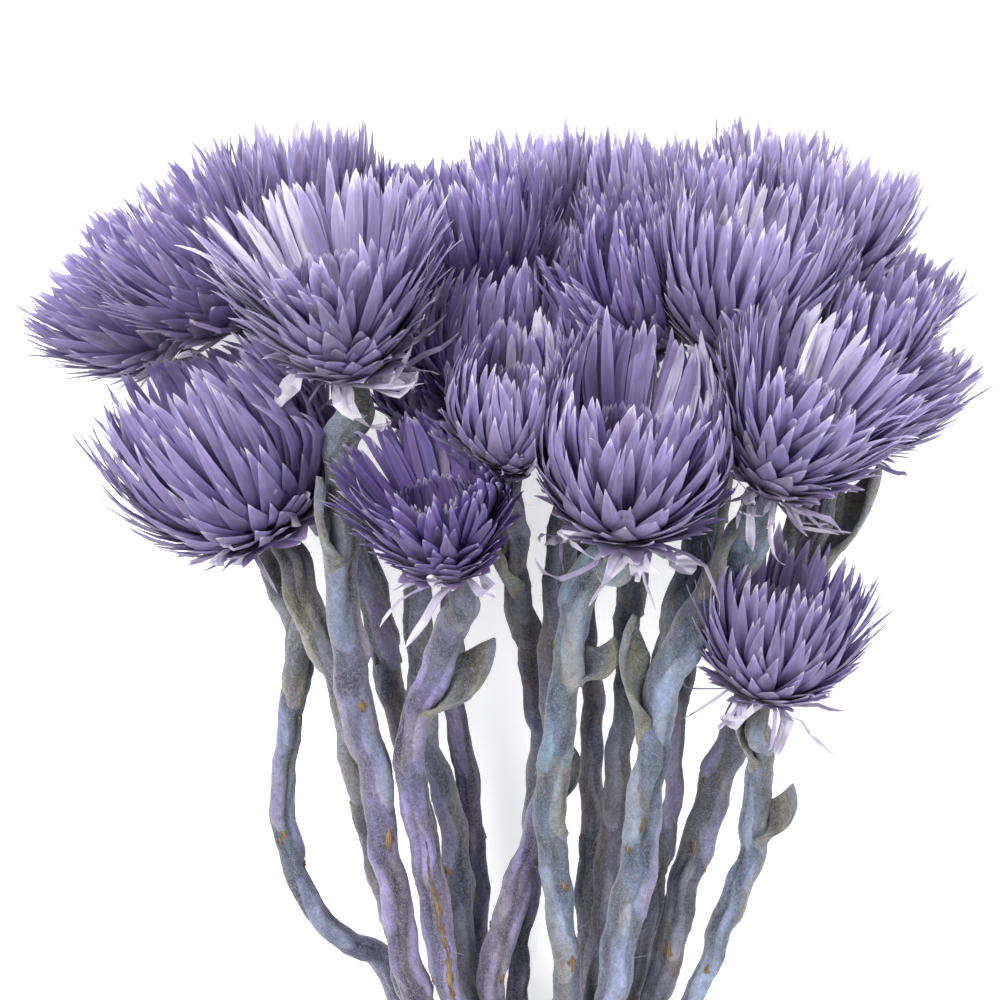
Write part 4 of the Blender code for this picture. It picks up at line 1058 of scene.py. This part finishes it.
BAND_WIDTH = 3.2 * MM
LOOP_WIDTH = 1.5 * MM
LOOP_THICK = 1.2 * MM
LOOP_APART = 1.64 * MM
BAND_SIDES = 180
BAND_CORNERS = 8


class Limb:
    """The woolly surface of a stem or side branch: a round body with leaf bases pressed to it."""

    def __init__(self, strand, seed, patches, forked=False):
        self.draw = np.random.default_rng(seed)
        lengths = lengths_along(strand.line)
        self.length = lengths[-1]
        count = max(8, round(self.length / RING_STEP))
        self.places = np.linspace(0, self.length, count + 1)
        self.line = read_between(self.places, lengths, strand.line)
        for _ in range(3):
            self.line[1:-1] = (self.line[:-2] + 2 * self.line[1:-1] + self.line[2:]) / 4
        self.radii = np.interp(self.places, lengths, strand.radii())
        self.radii *= NECK + (1 - NECK) * smooth_step(self.places / NECK_RUN)
        if forked:
            self.radii *= 1 + FORK_SWELL * smooth_step(1 - (self.length - self.places) / FORK_SWELL_RUN)
        self.tangents = normalised(np.gradient(self.line, axis=0))
        side = unit(np.cross(self.tangents[0], [0.0, 0.0, 1.0]))
        self.sides = []
        for tangent in self.tangents:
            side = unit(side - tangent * (side @ tangent))
            self.sides.append(side)
        self.sides = np.array(self.sides)
        self.ups = np.cross(self.sides, self.tangents)
        wave = np.stack([smooth_waves(self.places, self.draw) for _ in range(2)], axis=1) * WANDER
        fade = smooth_step(self.places / WANDER_RUN) * smooth_step((self.length - self.places) / WANDER_RUN)
        self.line = self.line + (self.sides * wave[:, :1] + self.ups * wave[:, 1:]) * fade[:, None]
        self.pads = []
        place, turn = self.draw.uniform(4, 9) * MM, self.draw.uniform(0, 2 * math.pi)
        while place < self.length - 4 * MM:
            self.pads.append((place, turn, PAD_LENGTH * self.draw.uniform(0.7, 1.5),
                              self.draw.uniform(0.75, 1.15), PAD_RISE * self.draw.uniform(0.6, 1.3),
                              patches[self.draw.integers(len(patches))]))
            place += PAD_SPACING * self.draw.uniform(0.75, 1.25)
            turn += GOLDEN_TURN + self.draw.normal(0, 0.25)
        self.harmonics = self.draw.uniform(0, 2 * math.pi, 6)
        limits = ((0, 2 * math.pi), (30, 80), (0, 6))
        self.folds = [tuple(self.draw.uniform(*pair) for pair in limits) for _ in range(FOLDS)]

    def creases(self, places, turns):
        """How deep the long folds in the wool are, from 0 to 1."""
        deep = np.zeros(np.broadcast(places, turns).shape)
        for turn, pace, phase in self.folds:
            track = turn + 0.9 * np.sin(places * pace + phase) + 0.3 * np.sin(places * pace * 3.1 + turn)
            away = (turns - track + math.pi) % (2 * math.pi) - math.pi
            fades = smooth_step(0.5 + 1.2 * np.sin(places * pace * 1.7 + phase * 2))
            deep = np.maximum(deep, fades * np.exp(-((away / FOLD_HALF) ** 2)))
        return deep

    def relief(self, places, turns):
        """How far the leaf bases stand out, as a share of the radius, and which one is outermost."""
        rise = np.zeros(np.broadcast(places, turns).shape)
        owner = np.full(rise.shape, -1)
        for number, (place, turn, length, width, height, _) in enumerate(self.pads):
            x = (place + length * 0.5 - places) / length
            y = (turns - turn - 0.25 * np.sin(x * 5 + turn) + math.pi) % (2 * math.pi) - math.pi
            outline = np.sqrt(np.clip(x / 0.20, 0.001, 1)) * (1 - 0.62 * np.clip(x, 0, 1))
            y = y / (width * outline)
            ends = smooth_step(x / 0.10) * (1 - 0.75 * np.clip(x, 0, 1)) * smooth_step((1 - x) / 0.15)
            pillow = np.sqrt(np.clip(1 - y * y, 0, 1)) * ends * height * ((x > 0) & (x < 1))
            owner = np.where(pillow > rise, number, owner)
            rise = np.maximum(rise, pillow)
        return rise, owner

    def at(self, places, turns, lift=0.0):
        """Points on the surface at lengths along the stem and turns round it, raised by lift."""
        line, sides, ups = (read_between(places, self.places, part)
                            for part in (self.line, self.sides, self.ups))
        radii = np.interp(places, self.places, self.radii)
        a, b, c = self.harmonics[:3]
        shape = 1 + 0.06 * np.cos(2 * turns + a + places * 90) + 0.04 * np.cos(3 * turns + b - places * 140)
        shape = shape + 0.03 * np.cos(5 * turns + c + places * 260)
        deep = FOLD_DEPTH * self.creases(places, turns)
        reach = radii * (STEM_BODY * shape + self.relief(places, turns)[0] - deep) + lift
        way = sides * np.cos(turns)[..., None] + ups * np.sin(turns)[..., None]
        return line + way * reach[..., None]


def smooth_waves(places, draw):
    """A gentle random wave, about -1 to 1, read at places along a stem."""
    total = np.zeros(len(places))
    for size in (11 * MM, 23 * MM, 47 * MM):
        total += np.sin(places * 2 * math.pi / size + draw.uniform(0, 2 * math.pi)) / 2
    return total


def wool_tints(colours, shares, points, draw):
    """Colour of the wool at each point: the stem's run of tints, in long streaks."""
    tint = read_between(shares, TINT_PLACES, np.array(colours))
    shift = draw.uniform(0, 50, 3)
    long = points / MM * np.array(STREAK_SCALE)
    mottle = noise_at(long + shift)
    lightness = noise_at(long * 1.3 + shift * 2)
    warm = np.clip(mottle * 1.5, 0, 0.6)[:, None]
    cool = np.clip(-mottle * 1.5, 0, 0.5)[:, None]
    tint = tint * (1 - warm) + np.array(WARM_WOOL) * warm
    tint = tint * (1 - cool) + np.array(COOL_WOOL) * cool
    return tint * (1 + 0.9 * lightness)[:, None]


def limb_mesh(limb, colours, shape, cut, start_share=0.0, end_share=1.0):
    """The tube of a stem or branch, with its wool colours, closed at both ends."""
    turns = np.arange(STEM_SIDES) * 2 * math.pi / STEM_SIDES
    places, angles = np.meshgrid(limb.places, turns, indexing="ij")
    points = limb.at(places, angles)
    rough = noise_at(points.reshape(-1, 3) * STEM_NOISE).reshape(places.shape)
    outward = normalised(points - np.broadcast_to(limb.line[:, None], points.shape))
    points = points + outward * (rough * STEM_ROUGH)[..., None]
    points[..., 2] = np.maximum(points[..., 2], LOWEST)
    rings = len(limb.places)
    quads = ring_faces(rings, STEM_SIDES)
    flat = points.reshape(-1, 3)
    shares = (start_share + (end_share - start_share) * places / limb.length).reshape(-1)
    tint = wool_tints(colours, shares, flat, limb.draw)
    rise, owner = (part.reshape(-1) for part in limb.relief(places, angles))
    patch = np.array([pad[5] for pad in limb.pads] + [(0, 0, 0)])[owner]
    height = np.clip(rise / PAD_RISE, 0, 1)
    share = (0.60 * smooth_step(height * 1.1) * smooth_step(shares / 0.04))[:, None]
    tint = tint * (1 - share) + patch * share
    # Painted shade in the long folds of the wool.
    tint = tint * (1 - 0.62 * limb.creases(places, angles).reshape(-1, 1))
    # The fourth tone value, how far a leaf base stands out, sets the wool's painted shade.
    tones = np.concatenate([tint, height[:, None]], axis=1)
    around = np.stack([angles * np.interp(places, limb.places, limb.radii) / MM, places / MM,
                       np.full(places.shape, limb.harmonics[0] * 30)], axis=-1).reshape(-1, 3)
    faces, slots = [quads, np.arange(STEM_SIDES)[None]], [0, 0]
    if cut:
        inside, cut_faces, cut_tones = cut_end(limb, points[-1])
        first = (rings - 1) * STEM_SIDES
        flat, around = np.concatenate([flat, inside]), np.concatenate([around, inside / MM])
        tones = np.concatenate([tones, cut_tones])
        faces, slots = faces + [batch + first for batch in cut_faces], slots + [1, 1]
    else:
        faces, slots = faces + [((rings - 1) * STEM_SIDES + np.arange(STEM_SIDES)[::-1])[None]], slots + [0]
    shape.add(flat, faces, around, tones, slots)


def fuzz(limb, count, shape):
    """Loose fibres of wool that stand off a stem."""
    draw = limb.draw
    places, turns = draw.uniform(0, limb.length, count), draw.uniform(0, 2 * math.pi, count)
    roots = limb.at(places, turns, -0.1 * MM)
    centre = read_between(places, limb.places, limb.line)
    outward = normalised(roots - centre)
    tangents = read_between(places, limb.places, limb.tangents)
    way = normalised(outward * 0.7 + tangents * draw.normal(0, 0.9, count)[:, None]
                     + normalised(np.cross(outward, tangents)) * draw.normal(0, 0.6, count)[:, None])
    bend = draw.normal(0, 0.5, (count, 3))
    reach = draw.uniform(0.7, 2.2, count) * np.where(draw.random(count) < 0.06, 2.5, 1) * MM
    across = normalised(np.cross(way, bend))
    third = np.cross(way, across)
    rings = []
    for share, thick in ((0.0, 1.0), (0.5, 0.9)):
        middle = roots + (way * share + bend * share**2 * 0.5) * reach[:, None]
        for k in range(3):
            angle = 2 * math.pi * k / 3
            rings.append(middle + (across * math.cos(angle) + third * math.sin(angle)) * thick * FIBRE_HALF)
    tips = roots + (way + bend * 0.5) * reach[:, None]
    points = np.stack(rings + [tips], axis=1)
    points[..., 2] = np.maximum(points[..., 2], LOWEST)
    quads = [(i, (i + 1) % 3, 3 + (i + 1) % 3, 3 + i) for i in range(3)]
    ends = [(3, 4, 6), (4, 5, 6), (5, 3, 6), (2, 1, 0)]
    step = np.arange(count)[:, None, None] * 7
    faces = [(np.array(quads)[None] + step).reshape(-1, 4), (np.array(ends)[None] + step).reshape(-1, 3)]
    tones = np.tile([*FIBRE_TINT, 1.0], (count * 7, 1))
    flat = points.reshape(-1, 3)
    shape.add(flat, faces, flat / MM, tones, 0)


def cut_end(limb, rim):
    """The sawn woody end of a stem inside its rim: points, faces counted from the rim's, and tones."""
    centre, way = limb.line[-1], limb.tangents[-1]
    rings = ((0.86, -0.25), (0.80, 0.35), (0.30, 0.30), (0.22, 0.75))
    points = [centre + (rim - centre) * share - way * depth * MM for share, depth in rings]
    points = np.concatenate(points + [(centre - way * 0.8 * MM)[None]])
    last = len(rings) * STEM_SIDES
    tips = [(last + i, last + STEM_SIDES, last + (i + 1) % STEM_SIDES) for i in range(STEM_SIDES)]
    tones = np.zeros((len(points), 4))
    tones[:, 0] = np.concatenate([np.full(STEM_SIDES, share) for share, _ in rings] + [[0.0]])
    return points, [ring_faces(len(rings) + 1, STEM_SIDES), np.array(tips)], tones


def scar(limb, place, turn, length, width, shape):
    """A ragged tear in the wool with bare straw-coloured strands of the stem in it."""
    draw = limb.draw
    rows, columns = max(6, round(length / (0.9 * MM))), 9
    a, b = np.meshgrid(np.linspace(-0.5, 0.5, rows), np.linspace(-0.5, 0.5, columns), indexing="ij")
    radius = float(np.interp(place, limb.places, limb.radii))
    taper = np.clip(1 - np.abs(2 * a) ** 2.5, 0.12, 1)
    ragged = 1 + 0.30 * draw.normal(0, 1, (rows, 1)) * np.abs(2 * b)
    ends = 0.22 * draw.normal(0, 1, (1, columns)) * (np.abs(a) > 0.35) * width / length
    places = np.clip(place + (a + ends) * length, 0, limb.length)
    sway = 0.12 * np.sin(a * length / (7 * MM) + turn)
    turns = turn + b * width / radius * taper * ragged + sway
    edge = (np.abs(a) > 0.49) | (np.abs(b) > 0.49)
    uneven = 0.06 * np.cos(b * 22 + draw.uniform(0, 6)) + 0.11 * draw.normal(0, 1, (rows, columns))
    lift = np.where(edge, -0.45, 0.18 + uneven - 0.42 * (np.abs(2 * a) ** 4 + np.abs(2 * b) ** 2)) * MM
    top, bottom = limb.at(places, turns, lift), limb.at(places, turns, -0.8 * MM)
    points = np.concatenate([top.reshape(-1, 3), bottom.reshape(-1, 3)])
    grid, under = np.arange(rows * columns).reshape(rows, columns), rows * columns
    quads = np.stack([grid[:-1, :-1], grid[1:, :-1], grid[1:, 1:], grid[:-1, 1:]], axis=-1).reshape(-1, 4)
    rim = np.concatenate([grid[0], grid[1:, -1], grid[-1, -2::-1], grid[-2:0:-1, 0]])
    walls = np.stack([rim, np.roll(rim, -1), np.roll(rim, -1) + under, rim + under], axis=1)
    values = np.stack([b * width / MM, a * length / MM, np.full(a.shape, place / MM)], axis=-1)
    values = np.tile(values.reshape(-1, 3), (2, 1))
    tones = np.zeros((under, 4))
    # The first tone value, 1 in the middle of the tear and 0 at its rim, sets the straw's painted shade.
    tones[:, 0] = (1 - np.maximum(np.abs(2 * a) ** 2, np.abs(2 * b) ** 2)).reshape(-1)
    tones[:, 1] = draw.uniform(0, 1)
    shape.add(points, [quads, quads[:, ::-1] + under, walls], values, np.tile(tones, (2, 1)), 2)


def leaf(limb, place, turn, length, width, spread, colours, shape):
    """A thick woolly leaf, pressed to the stem at its root, folded along its middle and curled."""
    draw = limb.draw
    place = min(max(place, 2 * MM), limb.length - 2 * MM)
    k = int(np.argmin(np.abs(limb.places - place)))
    forward, across, up = -limb.tangents[k], -limb.sides[k], limb.ups[k]
    out = across * math.cos(turn) + up * math.sin(turn)
    side = np.cross(forward, out)
    rows, columns = 17, 9
    s = np.linspace(0, 1, rows)
    angle = spread * np.interp(s, (0, 0.25, 0.6, 1.0), (0.3, 1.0, 0.8, -0.5 - draw.uniform(0, 0.9)))
    step = length / (rows - 1)
    ways = forward * np.cos(angle)[:, None] + out * np.sin(angle)[:, None]
    start = limb.line[k] + out * limb.radii[k] * 0.72 - forward * length * 0.12
    middle = start + np.concatenate([np.zeros((1, 3)), np.cumsum(ways[:-1] * step, axis=0)])
    backs = out * np.cos(angle)[:, None] - forward * np.sin(angle)[:, None]
    roll = LEAF_ROLL * math.cos(turn) * smooth_step(s / 0.5)[:, None]
    sides, backs = side * np.cos(roll) - backs * np.sin(roll), backs * np.cos(roll) + side * np.sin(roll)
    outline = np.interp(s, (0, 0.1, 0.3, 0.6, 0.85, 0.96, 1.0), (0.30, 0.62, 0.85, 1.0, 0.80, 0.45, 0.12))
    x = np.concatenate([np.linspace(-1, 1, columns), np.linspace(1, -1, columns)[1:-1]])
    layer = np.concatenate([np.ones(columns), -np.ones(columns - 2)])
    fold = 0.5 + draw.uniform(0.1, 0.6) * s
    bend = fold[:, None] * np.abs(x)[None, :] ** 1.5
    half = (width / 2 * outline)[:, None]
    thick = 0.75 * MM * (1 - 0.7 * np.abs(x) ** 3)[None, :] * layer[None, :] * (1 - 0.45 * s)[:, None]
    wavy = 0.10 * width * np.sin(s * 8 + turn)[:, None] * (x * np.abs(x))[None, :]
    points = (middle[:, None, :] + sides[:, None, :] * (half * x * np.cos(bend * 0.8))[..., None]
              + backs[:, None, :] * (thick - half * np.abs(x) * np.sin(bend) + wavy)[..., None])
    rough = noise_at(points.reshape(-1, 3) * LEAF_NOISE).reshape(points.shape[:2])
    points = points + backs[:, None, :] * (rough * layer[None, :] * LEAF_ROUGH)[..., None]
    points[..., 2] = np.maximum(points[..., 2], LOWEST_LEAF)
    count = len(x)
    quads = ring_faces(rows, count, True)
    caps = np.array([np.arange(count)[::-1], (rows - 1) * count + np.arange(count)])
    flat = points.reshape(-1, 3)
    tint = wool_tints(colours, np.repeat(s, count) * 0.5, flat, draw)
    relief = np.full((len(flat), 1), -0.2)
    values = np.stack([np.tile(x, rows) * width / 2 / MM, np.repeat(s, count) * length / MM,
                       np.full(len(flat), turn * 9)], axis=-1)
    shape.add(flat, [quads, caps], values, np.concatenate([tint, relief], axis=1), 0)


def wool_material():
    """Felted wool: a mesh of pale fibres over a darker ground that shows through, most on leaves."""
    made = Shader("felted wool")
    place, tone = made.reading("place").outputs["Vector"], made.reading("tone")
    where = made.add("TexCoord", {}).outputs["Object"]
    where = made.stretched(where, (1 / MM, 1 / MM, 1 / MM))
    warp = made.add("TexNoise", {"Vector": where, "Scale": 0.9, "Detail": 2.0}).outputs["Color"]
    warp = made.stretched(made.total(warp, (-0.5, -0.5, -0.5)), (2.2, 2.2, 2.2))
    bent = made.total(made.stretched(place, (1.0, 0.45, 1.0)), warp)
    tangled = made.total(where, warp)
    clumps = made.noise(where, 0.8, 3.0, 0.6)
    fine = made.noise(made.stretched(bent, (2.4, 1.3, 1.0)), 1.0, 3.0, 0.6)
    combed = made.fibres(made.noise(bent, 1.9, 1.0, 0.4))
    crossed = made.fibres(made.noise(tangled, 1.3, 1.0, 0.4))
    shade = made.maths("MULTIPLY", made.ranged(clumps, 0.3, 0.7, 0.84, 1.16),
                       made.ranged(fine, 0.3, 0.7, 0.84, 1.18))
    # Painted shade: the wool that no leaf base raises is darker, as if in the shade round them; leaves are
    # left out.
    crease_shade = made.ranged(tone.outputs["Alpha"], 0.0, 0.22, 0.55, 1.0)
    leafy = made.maths("LESS_THAN", tone.outputs["Alpha"], -0.1)
    shade = made.maths("MULTIPLY", shade, made.maths("MAXIMUM", crease_shade, leafy))
    grey = made.add("CombineColor", {0: shade, 1: shade, 2: shade}).outputs[0]
    colour = made.blend(1.0, tone.outputs["Color"], grey, "MULTIPLY")
    ground = made.maths("MULTIPLY", made.ranged(fine, 0.56, 0.44),
                        made.maths("MULTIPLY_ADD", leafy, 0.30, extra=0.05))
    colour = made.blend(ground, colour, (0.050, 0.036, 0.026))
    pale = made.maths("MULTIPLY", made.maths("MAXIMUM", combed, crossed), 0.34)
    colour = made.blend(pale, colour, (0.330, 0.325, 0.400))
    height = made.maths("ADD", made.maths("MULTIPLY", made.maths("MAXIMUM", combed, crossed), 0.5), fine)
    normal = made.bump(clumps, 0.6, 0.7 * MM)
    normal = made.bump(height, 0.5, 0.20 * MM, normal)
    shader = made.add("BsdfPrincipled", {"Base Color": colour, "Roughness": 0.92, "Normal": normal,
                                         "Sheen Weight": 0.35, "Sheen Roughness": 0.5,
                                         "Specular IOR Level": 0.15})
    return made.finished(shader.outputs[0])


def wood_material():
    """The sawn end of a stem: pale rings round a brown pith."""
    made = Shader("cut wood")
    place, tone = made.reading("place").outputs["Vector"], made.reading("tone")
    out = made.add("SeparateColor", {0: tone.outputs["Color"]}).outputs[0]
    grain = made.noise(place, 2.5, 3.0, 0.6)
    rings = made.maths("SINE", made.maths("MULTIPLY", out, 40.0))
    colour = made.blend(made.ranged(out, 0.2, 0.45), (0.120, 0.075, 0.040), (0.480, 0.370, 0.230))
    colour = made.blend(made.ranged(rings, -1.0, 1.0, 0.0, 0.35), colour, (0.330, 0.230, 0.130))
    colour = made.blend(made.ranged(out, 0.84, 0.92), colour, (0.250, 0.200, 0.150))
    colour = made.blend(made.ranged(grain, 0.4, 0.7, 0.0, 0.4), colour, (0.300, 0.210, 0.120))
    normal = made.bump(grain, 0.6, 0.2 * MM)
    shader = made.add("BsdfPrincipled", {"Base Color": colour, "Roughness": 0.8, "Normal": normal})
    return made.finished(shader.outputs[0])


def straw_material():
    """Bare stem where the wool is torn: golden brown straw with dark lengthwise lines, and painted shade
    at the rim of the tear.
    """
    made = Shader("bare straw")
    place = made.reading("place").outputs["Vector"]
    inside = made.add("SeparateColor", {0: made.reading("tone").outputs["Color"]}).outputs[0]
    lines = made.noise(made.stretched(place, (5.0, 0.25, 1.0)), 1.0, 3.0, 0.6)
    patches = made.noise(made.stretched(place, (0.7, 0.5, 1.0)), 1.0, 2.0, 0.6)
    colour = made.blend(made.ranged(lines, 0.35, 0.65), (0.045, 0.027, 0.014), (0.235, 0.150, 0.055))
    colour = made.blend(made.ranged(patches, 0.5, 0.7, 0.0, 0.7), colour, (0.060, 0.034, 0.018))
    # Painted shade: the straw darkens towards the rim of the tear, as if shaded by the torn wool.
    colour = made.blend(made.ranged(inside, 0.0, 0.75, 0.92, 0.0), colour, (0.040, 0.026, 0.018))
    normal = made.bump(lines, 0.8, 0.2 * MM)
    shader = made.add("BsdfPrincipled", {"Base Color": colour, "Roughness": 0.55, "Normal": normal})
    return made.finished(shader.outputs[0])


def make_stems(strands):
    """Every stem with its side branches, leaves, tears and loose fibres."""
    materials = [wool_material(), wood_material(), straw_material()]
    for index, name in enumerate(STEMS):
        draw = random.Random(SEED + 50 * index)
        colours, patches = STEM_TINTS[name], PATCHES.get(name, OTHER_PATCHES)
        shape = Shape()
        trunk = Limb(strands[name], SEED + 300 + index, patches)
        limb_mesh(trunk, colours, shape, True)
        fuzz(trunk, round(trunk.length / MM * FIBRES_PER_MM), shape)
        for order, (branch, (_, parent, _, _, _)) in enumerate(BRANCHES.items()):
            if parent == name:
                limb = Limb(strands[branch], SEED + 700 + order, patches, True)
                limb_mesh(limb, colours, shape, False, 0.0, 0.3)
                fuzz(limb, round(limb.length / MM * FIBRES_PER_MM), shape)
        for owner, place, turn, length, width, spread in LEAVES:
            if owner == name:
                k = int(np.argmin(np.abs(trunk.line[:, 1] - place * MM)))
                leaf(trunk, trunk.places[k], math.radians(turn), length * MM, width * MM,
                     math.radians(spread), (OLIVE, GREEN, GREEN, GREY, GREY), shape)
        for place, turn, length, _, _, _ in trunk.pads:
            if draw.random() < TORN_PADS and place > BELOW_HEADS:
                scar(trunk, place + length * 0.50, turn + draw.uniform(-0.5, 0.5),
                     draw.uniform(1.6, 3.4) * MM, draw.uniform(1.4, 2.4) * MM, shape)
        for owner, y, turn, length, width in STRIPES:
            if owner == name:
                k = int(np.argmin(np.abs(trunk.line[:, 1] - y * MM)))
                scar(trunk, trunk.places[k], math.radians(turn), length * MM, width * MM, shape)
        stem = shape.made(f"{name}_woolly", materials)
        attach(stem, "root")
        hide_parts(name)


def band_outline(strands, offset, sides):
    """The tight loop round the stems' sections at the band, as places across and up."""
    circles = []
    for name in STEMS:
        line = strands[name].line
        for y in (TIE_Y - BAND_WIDTH, TIE_Y, TIE_Y + BAND_WIDTH):
            k = int(np.argmin(np.abs(line[:, 1] - y)))
            circles.append((line[k][[0, 2]], strands[name].radii()[k] * (1 + LUMP)))
    outline = []
    for k in range(sides):
        way = np.array([math.cos(2 * math.pi * k / sides), math.sin(2 * math.pi * k / sides)])
        centre, radius = max(circles, key=lambda circle: circle[0] @ way + circle[1])
        x, z = centre + way * (radius + offset)
        outline.append((x, max(z, 0.0)))
    return np.array(outline)


def band_loop(strands, start, way, seed, shape):
    """One turn of a rubber band: a soft square section swept round the stems, sloping a little."""
    sides, corners = BAND_SIDES, BAND_CORNERS
    inner = band_outline(strands, GAP + 0.05 * MM, sides)
    for _ in range(3):
        inner = (np.roll(inner, 1, axis=0) + 2 * inner + np.roll(inner, -1, axis=0)) / 4
    outward = normalised(inner - inner.mean(axis=0))
    turns = np.arange(sides) * 2 * math.pi / sides
    slope = start + way * 0.35 * MM * np.sin(turns + seed) + 0.06 * MM * np.sin(turns * 5 + seed)
    points = []
    for k in range(corners):
        angle = 2 * math.pi * (k + 0.5) / corners
        half, thick = LOOP_WIDTH / 2 * math.cos(angle) * 1.05, LOOP_THICK / 2 * (1 + math.sin(angle) * 1.05)
        ring = np.zeros((sides, 3))
        ring[:, [0, 2]] = inner + outward * thick
        ring[:, 1] = TIE_Y + slope + half
        ring[:, 2] = np.maximum(ring[:, 2], 0.05 * MM + 0.02 * MM * k)
        points.append(ring)
    points = np.stack(points, axis=1).reshape(-1, 3)
    quads = ring_faces(sides + 1, corners) % len(points)
    tones = np.zeros((len(points), 4))
    tones[:, 0] = seed / 10
    shape.add(points, [quads], points / MM, tones, 0)


def rubber_material():
    """Tan rubber with a dull skin, fine moulding lines and dust."""
    made = Shader("tan rubber")
    place = made.reading("place").outputs["Vector"]
    lines = made.noise(made.stretched(place, (0.3, 6.0, 0.3)), 1.0, 2.0, 0.5)
    dust = made.noise(place, 0.9, 4.0, 0.6)
    colour = made.blend(made.ranged(lines, 0.3, 0.7), (0.370, 0.225, 0.110), (0.480, 0.310, 0.165))
    colour = made.blend(made.ranged(dust, 0.5, 0.75, 0.0, 0.5), colour, (0.520, 0.430, 0.330))
    normal = made.bump(lines, 0.4, 0.1 * MM)
    values = {"Base Color": colour, "Roughness": made.ranged(dust, 0.4, 0.7, 0.38, 0.7), "Normal": normal,
              "Subsurface Weight": 0.15, "Subsurface Scale": 0.8 * MM}
    return made.finished(made.add("BsdfPrincipled", values).outputs[0])


def make_band(strands):
    """The rubber band that holds the stems, in two turns side by side."""
    shape = Shape()
    for start in (-LOOP_APART / 2, LOOP_APART / 2):
        band_loop(strands, start, 1, 1.0, shape)
    band = shape.made("band_loops", [rubber_material()])
    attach(band, "root")
    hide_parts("band")


def make_heads(strands):
    """Every head, each with a bract material of its own tint."""
    base, florets = base_material(), floret_material()
    for index, name in enumerate(HEADS):
        violet, pale_and_backlit = HEADS[name][8:10]
        tints = [tuple(np.array(a) * (1 - violet) + np.array(b) * violet)
                 for a, b in ((LILAC_DEEP, VIOLET_DEEP), (LILAC, VIOLET), (LILAC_PALE, VIOLET_PALE))]
        shape = Shape()
        sheaf = Sheaf(name, index, strands, np.random.default_rng(SEED + index))
        torn = TORN.get(name, FEW_TORN)
        torn_bracts(sheaf, torn, shape)
        inmost = round(HEADS[name][5] * TUBE_SHARE)
        tube_bracts(sheaf, inmost, shape)
        head_bracts(sheaf, HEADS[name][5] - torn - inmost, shape)
        head_core(name, index, shape)
        paint = bract_material(f"bracts of {name}", *tints, pale_and_backlit)
        head = shape.made(f"{name}_bloom", [paint, base, florets])
        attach(head, "root")
        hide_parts(name)


def make_floor():
    """A plain pale floor."""
    made = Shader("pale floor")
    spots = made.noise(made.add("TexCoord", {}).outputs["Object"], 60.0, 3.0, 0.6)
    tint = made.blend(spots, (0.86, 0.86, 0.86), (0.90, 0.90, 0.90))
    shader = made.add("BsdfPrincipled", {"Base Color": tint, "Roughness": 0.8,
                                         "Emission Color": (1.0, 1.0, 1.0), "Emission Strength": 0.42})
    paint = made.finished(shader.outputs[0])
    mesh = bpy.data.meshes.new("floor")
    reach = 1.5
    mesh.from_pydata([(-reach, -reach, 0), (reach, -reach, 0), (reach, reach, 0), (-reach, reach, 0)], [],
                     [(0, 1, 2, 3)])
    mesh.materials.append(paint)
    floor = bpy.data.objects.new("floor", mesh)
    bpy.context.scene.collection.objects.link(floor)


def area_light(name, place, target, size, energy, colour):
    lamp = bpy.data.lights.new(name, "AREA")
    lamp.shape = "DISK"
    lamp.size, lamp.energy, lamp.color = size, energy, colour
    made = bpy.data.objects.new(name, lamp)
    bpy.context.scene.collection.objects.link(made)
    made.location = place
    made.rotation_euler = (Vector(target) - Vector(place)).to_track_quat("-Z", "Y").to_euler()


def make_stage():
    """Floor, soft lights and the camera that looks down on the bunch."""
    make_floor()
    middle = (0.0, 0.05, 0.04)
    area_light("key", (-0.45, 0.30, 0.85), middle, 0.45, 11.0, (1.0, 0.99, 0.97))
    area_light("fill", (0.60, -0.20, 0.75), middle, 0.60, 5.5, (0.96, 0.98, 1.0))
    area_light("top", (0.10, 0.85, 0.35), middle, 0.50, 6.0, (1.0, 1.0, 1.0))
    scene = bpy.context.scene
    scene.world = scene.world or bpy.data.worlds.new("world")
    scene.world.use_nodes = True
    sky = next(node for node in scene.world.node_tree.nodes if node.type == "BACKGROUND")
    sky.inputs["Color"].default_value = (0.97, 0.98, 1.0, 1)
    sky.inputs["Strength"].default_value = 0.85
    scene.view_settings.view_transform = "Standard"
    camera = bpy.data.cameras.new("camera")
    camera.lens, camera.sensor_width = 180, 36
    camera.clip_end = 10
    made = bpy.data.objects.new("camera", camera)
    scene.collection.objects.link(made)
    made.location = (0, 0.0713, 0.95)
    scene.camera = made


strands = stem_lines()
make_heads(strands)
make_stems(strands)
make_band(strands)
make_stage()
bpy.context.view_layer.update()
